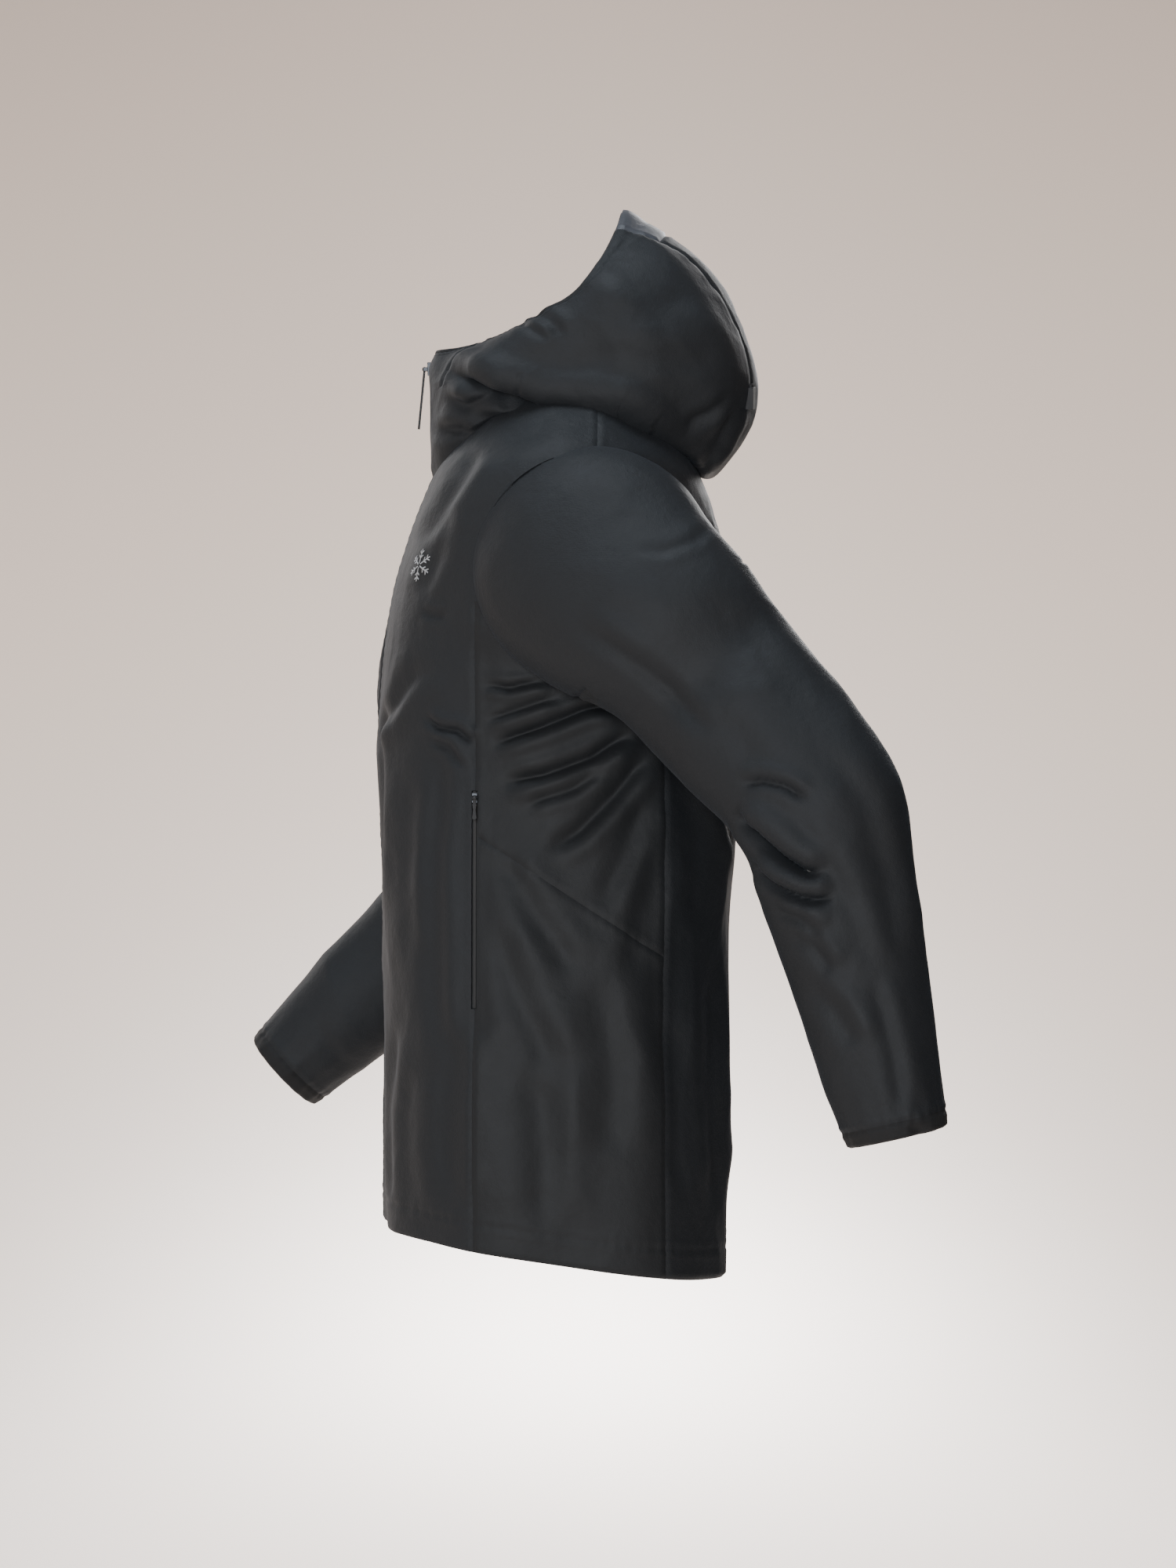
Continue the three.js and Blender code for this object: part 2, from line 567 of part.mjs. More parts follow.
// The brim's stiffener lies in a window of the lining, against the inside of the brim.
const stiffenerBand = box({ x: [4 - HOOD_CENTRE_WIDTH / 2, HOOD_CENTRE_WIDTH / 2 - 4] });
const stiffenerSpan = beyond(brimTip, BRIM_DIRECTION, 6 - BRIM_LENGTH)
  .subtract(beyond(brimTip, BRIM_DIRECTION, -3));
addSolid('brim_stiffener',
  hoodInner.subtract(hoodClear).intersect(stiffenerBand).intersect(stiffenerSpan), 'binding');
const window = box({ x: [2 - HOOD_CENTRE_WIDTH / 2, HOOD_CENTRE_WIDTH / 2 - 2] })
  .intersect(beyond(brimTip, BRIM_DIRECTION, 5 - BRIM_LENGTH));
addSolid('hood_lining', hoodInner.subtract(hoodClear).subtract(window), 'lining');
addSolid('collar_lining', hoodInner.intersect(hoodCore)
  .subtract(box({ x: [-ZIP_TAPE_WIDTH - 3, ZIP_TAPE_WIDTH + 3], y: [-FAR, 0] })), 'lining');

// ---- Sleeve panels -------------------------------------------------------------------------

const GUSSET_REACH = 72;       // the gusset starts this far down the arm from the armhole's middle
for (const side of SIDES) {
  const { rows, mirror, shoulder, elbow, wrist, forearm, bend, down } = sleeves[side];
  const shoulderBall = ball(shoulder, SHOULDER_SPLIT_RADIUS);
  const shoulderClear = ball(shoulder, SHOULDER_SPLIT_RADIUS + RUNNING_GAP);
  const elbowBall = ball(elbow, ELBOW_SPLIT_RADIUS);
  const elbowClear = ball(elbow, ELBOW_SPLIT_RADIUS + RUNNING_GAP);
  const pastElbow = beyond(elbow, bend);
  const split = (wall) => {
    const cap = wall.intersect(shoulderBall);
    const arm = wall.subtract(shoulderClear);
    const lower = arm.intersect(pastElbow).subtract(elbowClear);
    const upper = arm.subtract(pastElbow.subtract(elbowBall));
    return { cap, upper, lower };
  };
  const wall = split(tubeWall(rows, 0, SHELL_WALL, mirror).subtract(torsoClear));
  const gussetSide = beyond(shoulder, down, GUSSET_REACH);
  addSolid(`sleeve_cap_${side}`,
    wall.cap.subtract(beyond(shoulder, down, GUSSET_REACH - SEAM_GAP)), 'shell');
  addSolid(`underarm_gusset_${side}`, wall.cap.intersect(gussetSide), 'shell');
  addSolid(`sleeve_upper_${side}`, wall.upper, 'shell');
  const cuffSide = beyond(wrist, forearm, -CUFF_BINDING_LENGTH);
  addSolid(`sleeve_lower_${side}`,
    wall.lower.subtract(beyond(wrist, forearm, -CUFF_BINDING_LENGTH - SEAM_GAP)), 'shell');
  addSolid(`cuff_binding_${side}`, wall.lower.intersect(cuffSide), 'binding');

  const inner = split(tubeWall(rows, LINING_DEPTH, LINING_BACK, mirror).subtract(torsoClear));
  addSolid(`sleeve_upper_lining_${side}`, inner.upper, 'lining');
  addSolid(`sleeve_lower_lining_${side}`, inner.lower, 'lining');
  addSolid(`sleeve_cap_lining_${side}`, inner.cap, 'lining');
}

// ---- Front zip -----------------------------------------------------------------------------

// The sheet that the front pieces follow runs from the hem to the top of the collar.
const FRONT_COLUMN = (TORSO_COLUMNS * 3) / 4;
const frontRows = [...torsoRows, ...hoodRows.slice(1)];
const frontHemZ = torsoRows[0][FRONT_COLUMN].z;

function frontStrip(outerDepth, innerDepth, fromX, toX, fromZ, toZ) {
  return tubeWall(frontRows, outerDepth, innerDepth)
    .intersect(box({ x: [fromX, toX], y: [-FAR, 0], z: [fromZ, toZ] }));
}

const COIL_FRONT = 1.6;
const TAPE_FRONT = LINING_DEPTH;
const TAPE_BACK = TAPE_FRONT + 0.8;
const zipFootZ = frontHemZ + 6;
const boxTopZ = zipFootZ + 9;
for (const side of SIDES) {
  const place = (near, far) => (side === 'left' ? [near, far] : [-far, -near]);
  addSolid(`zip_tape_${side}`, frontStrip(TAPE_FRONT, TAPE_BACK,
    ...place(half, ZIP_TAPE_WIDTH), zipFootZ, ZIP_TOP_Z), 'tape');
  addSolid(`zip_coil_${side}`, frontStrip(COIL_FRONT, TAPE_FRONT - SEAM_GAP,
    ...place(half, ZIP_COIL_WIDTH), boxTopZ + SEAM_GAP, ZIP_TOP_Z), 'coil');
}
addSolid('zip_retainer_box',
  frontStrip(COIL_FRONT - 0.8, TAPE_FRONT - SEAM_GAP, -3.4, 3.4, zipFootZ, boxTopZ), 'metal');
addSolid('wind_flap', frontStrip(TAPE_BACK + SEAM_GAP, TAPE_BACK + 1.7,
  -ZIP_TAPE_WIDTH - 1, ZIP_TAPE_WIDTH + 1, zipFootZ, ZIP_TOP_Z), 'lining');
addSolid('chin_guard', frontStrip(TAPE_BACK + 2, TAPE_BACK + 3,
  -ZIP_TAPE_WIDTH - 6, ZIP_TAPE_WIDTH + 6, ZIP_TOP_Z - 34, ZIP_TOP_Z), 'lining');

// Sliders and pulls are made at the pull's pin, facing -Y, and then placed.
const PIN_REACH = 2.4;         // from the slider's face to the pin
const PIN_RADIUS = 0.6;
const EYE_RADIUS = 2.0;
const EYE_HALF_WIDTH = 1.2;
const EAR_GAP = 0.3;

function roundBar(radius, halfLength) {
  const geometry = new THREE.CylinderGeometry(radius, radius, 2 * halfLength, 12);
  geometry.rotateZ(Math.PI / 2);
  return toSolid(geometry);
}

function sliderSolid(size) {
  const body = box({ x: [-size.width / 2, size.width / 2], y: [PIN_REACH, PIN_REACH + size.depth],
    z: [-size.height / 2, size.height / 2] });
  const near = EYE_HALF_WIDTH + EAR_GAP;
  const far = Math.min(near + 1.1, size.width / 2);
  const ear = (from, to) => box({ x: [from, to], y: [-1, PIN_REACH + 1], z: [-1.6, 1.6] });
  return body.add(ear(near, far)).add(ear(-far, -near)).add(roundBar(PIN_RADIUS, far));
}

function pullSolid(size) {
  const eye = roundBar(EYE_RADIUS, EYE_HALF_WIDTH);
  const neck = box({ x: [-EYE_HALF_WIDTH, EYE_HALF_WIDTH], y: [-size.depth / 2, size.depth / 2],
    z: [-5, 0] });
  const outline = new THREE.Shape();
  const w = size.width / 2;
  outline.moveTo(-w, -5);
  outline.lineTo(-w * 0.6, -size.length * 0.55);
  outline.lineTo(-w, -size.length + w);
  outline.absarc(0, -size.length + w, w, Math.PI, 2 * Math.PI, false);
  outline.lineTo(w * 0.6, -size.length * 0.55);
  outline.lineTo(w, -5);
  const blade = new THREE.ExtrudeGeometry(outline, { depth: size.depth, bevelEnabled: false,
    curveSegments: 6 });
  blade.rotateX(Math.PI / 2);
  blade.translate(0, size.depth / 2, 0);
  return eye.add(neck).add(toSolid(blade)).subtract(roundBar(PIN_RADIUS + EAR_GAP, 5));
}

// A place whose local +Z points up along the travel and whose local -Y points out of the face.
function facing(position, up, outward, tilt = 0) {
  const z = up.clone().normalize();
  const y = outward.clone().negate();
  y.addScaledVector(z, -y.dot(z)).normalize();
  const matrix = new THREE.Matrix4().makeBasis(y.clone().cross(z), y, z);
  const quaternion = new THREE.Quaternion().setFromRotationMatrix(matrix);
  quaternion.multiply(new THREE.Quaternion().setFromAxisAngle(SIDEWAYS, tilt));
  return { position, quaternion };
}

const SLIDER_TOP_Z = 48;
const FORWARD = new THREE.Vector3(0, -1, 0);
const slideTop = hoodRows[HOOD_LEVELS.length - 3][FRONT_COLUMN];
const slideFoot = hoodRows[0][FRONT_COLUMN];
const slideUp = slideTop.clone().sub(slideFoot).normalize();
const sliderSeat = slideFoot.clone().addScaledVector(slideUp, (SLIDER_TOP_Z - slideFoot.z) / slideUp.z);
sliderSeat.y += COIL_FRONT - SEAM_GAP - SLIDER.depth - PIN_REACH;
addPart('zip_slider', toGeometry(sliderSolid(SLIDER)), 'metal', facing(sliderSeat, slideUp, FORWARD));
addPart('zip_pull', toGeometry(pullSolid(PULL)), 'rubber',
  facing(sliderSeat, slideUp, FORWARD, -PULL_TILT));

const POCKET_SLIDER = { width: POCKET_SLIT_WIDTH - 0.8, depth: 1.6, height: 8 };
for (const side of SIDES) {
  const flip = side === 'left' ? 1 : -1;
  const outward = new THREE.Vector3(flip, 0, 0);
  const up = pocketDown.clone().negate().multiply(new THREE.Vector3(flip, 1, 1));
  const seat = pocketTop.clone().addScaledVector(pocketDown, 6);
  seat.x += PIN_REACH + POCKET_SLIDER.depth + 0.1;
  seat.multiply(new THREE.Vector3(flip, 1, 1));
  addPart(`pocket_slider_${side}`, toGeometry(sliderSolid(POCKET_SLIDER)), 'metal',
    facing(seat, up, outward));
  addPart(`pocket_pull_${side}`, toGeometry(pullSolid(POCKET_PULL)), 'rubber',
    facing(seat, up, outward, -PULL_TILT));
}

// ---- Rear hood cord lock -------------------------------------------------------------------

const LOCK = { width: 12, depth: 7, height: 18, seat: 0.6 };
const BUTTON = { radius: 2.8, length: 6, travel: 2.5 };
const LOCK_ROW = 3;
const LOCK_COLUMN = 5;
const LOCK_SHIFT = 0.3;        // of the way to the next column towards the middle
const lockEdge = hoodRows[LOCK_ROW];
const lockPoint = lockEdge[LOCK_COLUMN].clone().lerp(lockEdge[LOCK_COLUMN + 1], LOCK_SHIFT);
const lockRound = lockEdge[LOCK_COLUMN + 1].clone().sub(lockEdge[LOCK_COLUMN]);
const lockRise = hoodRows[LOCK_ROW + 1][LOCK_COLUMN].clone().sub(hoodRows[LOCK_ROW - 1][LOCK_COLUMN]);
const lockOut = lockRound.clone().cross(lockRise).normalize();
const lockPlace = facing(lockPoint, lockRise, lockOut);
const buttonBore = new THREE.CylinderGeometry(BUTTON.radius + SEAM_GAP, BUTTON.radius + SEAM_GAP,
  BUTTON.length + BUTTON.travel, 16);
buttonBore.rotateX(Math.PI / 2);
buttonBore.translate(0, -LOCK.seat - LOCK.depth / 2,
  LOCK.height / 2 - (BUTTON.length + BUTTON.travel) / 2 + BUTTON.travel);
const lockBody = box({ x: [-LOCK.width / 2, LOCK.width / 2],
  y: [-LOCK.seat - LOCK.depth, -LOCK.seat], z: [-LOCK.height / 2, LOCK.height / 2] });
addPart('hood_cord_lock', toGeometry(lockBody.subtract(toSolid(buttonBore))), 'rubber', lockPlace);
const button = new THREE.CylinderGeometry(BUTTON.radius, BUTTON.radius, BUTTON.length, 16);
button.rotateX(Math.PI / 2);
button.translate(0, -LOCK.seat - LOCK.depth / 2,
  LOCK.height / 2 + BUTTON.travel - BUTTON.length / 2 + 0.3);
addPart('hood_cord_lock_button', toGeometry(toSolid(button)), 'rubber', lockPlace);

// ---- Neck fittings and chest emblem --------------------------------------------------------

const LOOP = { width: 52, height: 16, strap: 4, depth: 5, seat: 4.6 };
const linedBack = inset(torsoRows, LINING_BACK).map((row) => row[TORSO_COLUMNS / 4]);
const napeSeat = linedBack[linedBack.length - 1];
const loopOutline = new THREE.Shape();
loopOutline.moveTo(-LOOP.width / 2, 0);
loopOutline.lineTo(-LOOP.width / 2, LOOP.height);
loopOutline.lineTo(LOOP.width / 2, LOOP.height);
loopOutline.lineTo(LOOP.width / 2, 0);
loopOutline.lineTo(LOOP.width / 2 - LOOP.strap, 0);
loopOutline.lineTo(LOOP.width / 2 - LOOP.strap, LOOP.height - LOOP.strap);
loopOutline.lineTo(LOOP.strap - LOOP.width / 2, LOOP.height - LOOP.strap);
loopOutline.lineTo(LOOP.strap - LOOP.width / 2, 0);
const hangLoop = new THREE.ExtrudeGeometry(loopOutline, { depth: LOOP.depth, bevelEnabled: false });
hangLoop.rotateX(Math.PI / 2);
hangLoop.translate(0, napeSeat.y - LOOP.seat, napeSeat.z - LOOP.height / 2);
addPart('hang_loop', toGeometry(toSolid(hangLoop)), 'tape');

addSolid('care_label', tubeWall(torsoRows, LINING_BACK + SEAM_GAP, LINING_BACK + 1)
  .intersect(box({ x: [-22, 22], y: [0, FAR], z: [-52, -14] })), 'label');

const EMBLEM = { x: 103, z: -119, radius: 13 };
const emblemCutter = new THREE.CylinderGeometry(EMBLEM.radius, EMBLEM.radius, 100, 24);
emblemCutter.translate(EMBLEM.x, -100, EMBLEM.z);
addSolid('chest_emblem', tubeWall(torsoRows, -1 - SEAM_GAP, -SEAM_GAP)
  .intersect(toSolid(emblemCutter)), 'thread');

export default jacket;
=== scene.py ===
"""Insulated hooded shell jacket in worn shape, with sewn panels, zips and hood fittings.

Sizes are in millimetres in the sewing functions and in metres on the finished pieces.
+X is the wearer's left, -Y the front and +Z up. The origin is the middle of the neck.
"""
import math
from functools import lru_cache

import bmesh
import bpy
import numpy as np
from mathutils import Matrix, Vector, noise
from mathutils.bvhtree import BVHTree


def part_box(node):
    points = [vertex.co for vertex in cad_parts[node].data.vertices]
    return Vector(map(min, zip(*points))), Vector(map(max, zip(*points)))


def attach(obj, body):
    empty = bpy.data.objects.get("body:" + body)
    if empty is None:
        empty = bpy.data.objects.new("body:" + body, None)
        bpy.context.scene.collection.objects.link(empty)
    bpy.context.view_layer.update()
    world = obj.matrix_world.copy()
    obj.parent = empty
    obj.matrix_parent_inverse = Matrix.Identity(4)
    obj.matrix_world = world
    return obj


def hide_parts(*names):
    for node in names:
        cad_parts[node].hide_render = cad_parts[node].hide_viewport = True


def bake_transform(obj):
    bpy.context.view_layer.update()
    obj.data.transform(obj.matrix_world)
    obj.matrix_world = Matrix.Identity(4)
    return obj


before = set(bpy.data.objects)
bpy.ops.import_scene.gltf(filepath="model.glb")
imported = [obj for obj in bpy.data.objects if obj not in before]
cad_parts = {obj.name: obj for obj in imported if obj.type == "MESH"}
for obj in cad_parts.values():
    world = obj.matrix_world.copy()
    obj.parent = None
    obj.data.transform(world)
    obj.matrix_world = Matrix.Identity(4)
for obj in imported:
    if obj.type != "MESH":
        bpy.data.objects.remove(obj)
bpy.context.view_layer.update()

MM = 0.001
SEAM_X = 45                    # edge of the hood's centre band
FRONT_SEAM_Y = -58
BACK_SEAM_Y = 93
SHOULDER_SEAM_Y = 40
COLLAR_SEAM_Y = -20
SIDE_TOP_Z = -150
POCKET_TOP_Z = -301
POCKET_LENGTH = 174
ZIP_TOP_Z = 56
ZIP_HALF_GAP = 5
LINING_DEPTH = 5.2             # the linings hang this far inside the shell
PADDING = ((2.4, 0.2), (0.8, 0.1))  # thickness and fill of the shell and of the linings
HEM_Z = -677
NECK_Z = 22
ARMHOLE = (155, 37, -124)
ARMHOLE_RADIUS = 96
CUFF_LENGTH = 13
TORSO_CLOTH = (880, 699)       # width and length of each cloth before it is laid
HOOD_CLOTH = (620, 210)
SLEEVE_CLOTH = (400, 560)
FRONT_Y = -60                  # the zip's side of the neck and body lies in front of this
SIDE_X = 60                    # an armhole's side lies beyond this
FITTING_GAP = 16               # the linings end this far from the middle of the zip


# ---- Curves --------------------------------------------------------------------------------

def curve(stations, at):
    """Smooth value through (position, value) stations, level outside the first and the last."""
    last = len(stations) - 1
    x = min(max(at, stations[0][0]), stations[last][0])
    i = 0
    while i < last - 1 and x > stations[i + 1][0]:
        i += 1
    x0, y0 = stations[i]
    x1, y1 = stations[i + 1]
    before = stations[max(i - 1, 0)]
    after = stations[min(i + 2, last)]
    span = x1 - x0
    slope0 = span * (y1 - before[1]) / (x1 - before[0])
    slope1 = span * (after[1] - y0) / (after[0] - x0)
    t = (x - x0) / span
    t2, t3 = t * t, t * t * t
    return ((2 * t3 - 3 * t2 + 1) * y0 + (t3 - 2 * t2 + t) * slope0
            + (3 * t2 - 2 * t3) * y1 + (t3 - t2) * slope1)


def curve_of_points(stations, at):
    return tuple(curve([(t, p[axis]) for t, p in stations], at) for axis in range(3))


def smooth(edge0, edge1, x):
    t = np.clip((x - edge0) / (edge1 - edge0), 0, 1)
    return t * t * (3 - 2 * t)


# ---- Body of the jacket --------------------------------------------------------------------

HALF_WIDTHS = [(HEM_Z, 180), (-556, 176), (-413, 167), (-263, 157), (-165, 158), (-98, 163),
               (-60, 162), (-33, 152), (-10, 127), (6, 105), (NECK_Z, 80)]
FRONT_OUTLINE = [(-656, -134), (-491, -135), (-361, -138), (-263, -140), (-198, -138),
                 (-159, -133), (-130, -127), (-98, -117), (-71, -107), (-45, -96)]
BACK_OUTLINE = [(-698, 146), (-556, 147), (-413, 148), (-344, 153), (-263, 155), (-150, 150),
                (-84, 138), (-62, 133), (-34, 120), (10, 90)]
ROW_TILT = [(HEM_Z, -21), (-480, -6), (-300, 0), (-130, 0), (-60, 6), (-16, 16), (NECK_Z, 27.5)]
ROW_DIP = [(HEM_Z, 0), (-130, 0), (-60, -8), (-16, -22), (NECK_Z, -39.5)]
ROUNDNESS = [(HEM_Z, 2.6), (-165, 2.4), (NECK_Z, 2.2)]


def signed_power(value, power):
    return math.copysign(abs(value) ** power, value)


@lru_cache(maxsize=None)
def torso_row(height):
    tilt = curve(ROW_TILT, height)
    dip = curve(ROW_DIP, height)
    front = curve(FRONT_OUTLINE, height - tilt + dip)
    back = curve(BACK_OUTLINE, height + tilt + dip)
    return tilt, dip, front, back, 2 / curve(ROUNDNESS, height), curve(HALF_WIDTHS, height)


def torso_point(angle, height):
    tilt, dip, front, back, power, half_width = torso_row(height)
    across = signed_power(math.cos(angle), power)
    along = signed_power(math.sin(angle), power)
    return (half_width * across, (front + back) / 2 + (back - front) / 2 * along,
            height + tilt * along + dip * along * along)


# ---- Hood ----------------------------------------------------------------------------------

HOOD_MERIDIANS = [
    (-90, [(0, -96.6, -20), (0, -97.2, 5), (0, -97.7, 28), (0, -98.2, 48), (0, -93, 64)]),
    (-50, [(60, -76, 2), (74, -70, 30), (78, -62, 47), (70, -52, 62), (55, -39, 71)]),
    (0, [(92, 18, 22), (101, 20, 32), (105, 20, 58), (100, 14, 82), (88, 8, 95)]),
    (45, [(88, 80, 8), (104, 92, 18), (110, 92, 62), (100, 66, 108), (80, 40, 130)]),
    (70, [(48, 124, -22), (70, 146, 2), (80, 146, 62), (66, 108, 128), (44, 56, 162)]),
    (90, [(0, 128, -31), (0, 160, -12), (0, 172, 42), (0, 136, 127), (0, 63, 182)]),
]


@lru_cache(maxsize=None)
def hood_rises(level):
    rises = []
    for meridian, points in HOOD_MERIDIANS:
        foot = torso_point(math.radians(meridian), NECK_Z)
        stations = [(0, (0, 0, 0))]
        for i, point in enumerate(points):
            stations.append(((i + 1) / len(points), tuple(p - f for p, f in zip(point, foot))))
        rises.append((meridian, curve_of_points(stations, level)))

    def mirrored(entry, middle):
        return (2 * middle - entry[0], (-entry[1][0], entry[1][1], entry[1][2]))

    return [mirrored(rises[1], -90), *rises, mirrored(rises[-2], 90)]


def hood_point(angle, level):
    side = 1 if math.cos(angle) >= 0 else -1
    folded = math.atan2(math.sin(angle), abs(math.cos(angle)))
    rise = curve_of_points(hood_rises(level), math.degrees(folded))
    foot = torso_point(folded, NECK_Z)
    return side * (foot[0] + rise[0]), foot[1] + rise[1], foot[2] + rise[2]


# ---- Sleeves -------------------------------------------------------------------------------

ARMS = {
    "left": dict(side=1, upper=39, upper_out=15.5, fore=13.2, fore_out=2.6, lean=17),
    "right": dict(side=-1, upper=-18, upper_out=12.3, fore=-47.2, fore_out=3.3, lean=0),
}
UPPER_ARM_LENGTH = 166
FOREARM_LENGTH = 265
SIDEWAYS = Vector((1, 0, 0))


def arm_direction(back, out):
    b, o = math.radians(back), math.radians(out)
    return Vector((math.sin(o), math.sin(b) * math.cos(o), -math.cos(b) * math.cos(o)))


def sleeve_rings(arm):
    """(centre, normal, across, high, wide) of each ring, drawn for the left side."""
    armhole = Vector(ARMHOLE)
    down = arm_direction(arm["upper"], 0)
    rearward = SIDEWAYS.cross(down)
    underarm = armhole + down * ARMHOLE_RADIUS
    start = underarm + SIDEWAYS * 50 + rearward * arm["lean"]
    upper = arm_direction(arm["upper"], arm["upper_out"])
    fore = arm_direction(arm["fore"], arm["fore_out"])
    elbow = start + upper * UPPER_ARM_LENGTH
    wrist = elbow + fore * FOREARM_LENGTH
    rings = [(armhole - SIDEWAYS * 85, SIDEWAYS.copy(), -down, ARMHOLE_RADIUS, ARMHOLE_RADIUS)]
    for turn, wide, high in ((0, 96, 96), (30, 69, 88), (60, 57, 80), (90, 50, 74)):
        t = math.radians(turn)
        across = SIDEWAYS * math.sin(t) - down * math.cos(t)
        normal = SIDEWAYS * math.cos(t) + down * math.sin(t)
        centre = (underarm + across * wide + rearward * (arm["lean"] * math.sin(t) ** 2)
                  + down * (20 * turn / 90))
        rings.append((centre, normal, across, high, wide))

    def arm_ring(centre, normal, high, wide):
        across = (SIDEWAYS - normal * normal.x).normalized()
        rings.append((centre, normal, across, high, wide))

    arm_ring(start.lerp(elbow, 0.5), upper, 72, 49)
    arm_ring(elbow, (upper + fore).normalized(), 67, 48)
    arm_ring(elbow.lerp(wrist, 0.3), fore, 59, 45)
    arm_ring(elbow.lerp(wrist, 0.6), fore, 51, 42)
    arm_ring(elbow.lerp(wrist, 0.85), fore, 44, 39.5)
    arm_ring(wrist, fore, 39, 38)
    return rings, dict(elbow=elbow, wrist=wrist, upper=upper, fore=fore, down=down)


def sleeve_point(rings, step, angle):
    def pick(key):
        return Vector(curve_of_points([(i, tuple(r[key])) for i, r in enumerate(rings)], step))

    def size(key):
        return curve([(i, r[key]) for i, r in enumerate(rings)], step)

    normal = pick(1).normalized()
    across = pick(2)
    across = (across - normal * across.dot(normal)).normalized()
    high = across.cross(normal)
    return (pick(0) + high * (size(3) * math.cos(angle)) + across * (size(4) * math.sin(angle)))


# ---- Folds ---------------------------------------------------------------------------------

# A fold is drawn on the (y, z) plane for a side and on (x, z) for the front or back. It sinks by
# depth along its path, swells by lip beside it, and drops by sag towards the path.

def fold(path, width, depth, lip=None, sag=0.0, face="left"):
    return dict(path=path, width=width, depth=depth, lip=depth * 0.45 if lip is None else lip,
                sag=sag, face=face)


FACES = {"left": ((1, 2), (1, 0, 0)), "right": ((1, 2), (-1, 0, 0)),
         "front": ((0, 2), (0, -1, 0)), "back": ((0, 2), (0, 1, 0))}


def path_distance(flat, path):
    """Signed distance of each point to a path, how far along it is, and the way across it."""
    best = np.full(len(flat), 1e9)
    signed = np.zeros(len(flat))
    along = np.zeros(len(flat))
    across = np.zeros((len(flat), 2))
    lengths = [math.dist(a, b) for a, b in zip(path, path[1:])]
    total, done = sum(lengths), 0.0
    for (a, b), length in zip(zip(path, path[1:]), lengths):
        direction = np.subtract(b, a) / length
        sideways = np.array((-direction[1], direction[0]))
        local = flat - np.array(a)
        t = np.clip(local @ direction, 0, length)
        gap = local - t[:, None] * direction
        distance = np.hypot(gap[:, 0], gap[:, 1])
        near = distance < best
        best[near] = distance[near]
        signed[near] = (np.sign(local @ sideways + 1e-9) * distance)[near]
        along[near] = ((done + t) / total)[near]
        across[near] = sideways
        done += length
    return signed, along, across


def press_folds(points, normals, folds, strength=1.0):
    """Moves the points of a cloth by the folds pressed into it."""
    moved = points.copy()
    for f in folds:
        axes, outward = FACES[f["face"]]
        flat = points[:, axes]
        w = f["width"]
        low = np.min(f["path"], axis=0) - 4 * w
        high = np.max(f["path"], axis=0) + 4 * w
        facing = normals @ np.array(outward)
        inside = (flat > low).all(axis=1) & (flat < high).all(axis=1)
        chosen = np.nonzero(inside & (facing > 0.02))[0]
        if len(chosen) == 0:
            continue
        s, t, across = path_distance(flat[chosen], f["path"])
        fade = smooth(0, 0.22, t) * smooth(0, 0.22, 1 - t) * smooth(0.02, 0.35, facing[chosen])
        out = (-f["depth"] * np.exp(-(s / w) ** 2)
               + f["lip"] * np.exp(-((s - 1.7 * w) / (1.15 * w)) ** 2)
               + 0.5 * f["lip"] * np.exp(-((s + 1.9 * w) / (1.4 * w)) ** 2))
        moved[chosen] += normals[chosen] * (out * fade * strength)[:, None]
        if f["sag"]:
            pull = -f["sag"] * np.exp(-((s - 0.9 * w) / (0.95 * w)) ** 2) * fade * strength
            for k, axis in enumerate(axes):
                moved[chosen, axis] += pull * across[:, k]
    return moved


def rumple(points, normals, size, height, stretch=(1, 1, 1), offset=0.0):
    """Small creases over a cloth; stretch draws them out along an axis."""
    scale = np.array(stretch) / size
    bumps = np.array([noise.noise(Vector(p) + Vector((offset, offset, offset)))
                      for p in points * scale])
    return points + normals * (height * (1 - 3.2 * np.abs(bumps)))[:, None]


# ---- Cloth ---------------------------------------------------------------------------------

def lay_cloth(columns, rows, place, width, length):
    """A grid of cloth laid on place(u, v), with the layer that keeps v. Its UV map is in metres."""
    bm = bmesh.new()
    bmesh.ops.create_grid(bm, x_segments=columns, y_segments=rows, size=0.5)
    reach = bm.verts.layers.float.new("reach")
    uv = bm.loops.layers.uv.verify()
    for face in bm.faces:
        for loop in face.loops:
            u, v = loop.vert.co.x + 0.5, loop.vert.co.y + 0.5
            loop[uv].uv = (u * width * MM, v * length * MM)
    for vert in bm.verts:
        u, v = vert.co.x + 0.5, vert.co.y + 0.5
        vert[reach] = v
        vert.co = place(u, v)
    bm.normal_update()
    return bm, reach


def face_outwards(bm, middle):
    """Turns the cloth so that its faces look away from middle."""
    if sum(f.normal.dot(f.calc_center_median() - middle) for f in bm.faces) < 0:
        bmesh.ops.reverse_faces(bm, faces=bm.faces)


def cut(bm, point, direction, where=None):
    """A clean line of edges across the cloth on a plane, over the faces that where picks."""
    faces = [f for f in bm.faces if where is None or where(f.calc_center_median())]
    edges = {e for f in faces for e in f.edges}
    verts = {v for f in faces for v in f.verts}
    bmesh.ops.bisect_plane(bm, geom=[*verts, *edges, *faces], dist=1e-4,
                           plane_co=point, plane_no=direction)


def trim(bm, outside):
    bmesh.ops.delete(bm, geom=[f for f in bm.faces if outside(f.calc_center_median())],
                     context="FACES")


def panels_of(bm, name_of):
    """The indices of a cloth's faces, gathered under the name that name_of gives their middle."""
    bm.faces.ensure_lookup_table()
    bm.faces.index_update()
    found = {}
    for face in bm.faces:
        found.setdefault(name_of(face.calc_center_median()), set()).add(face.index)
    return found


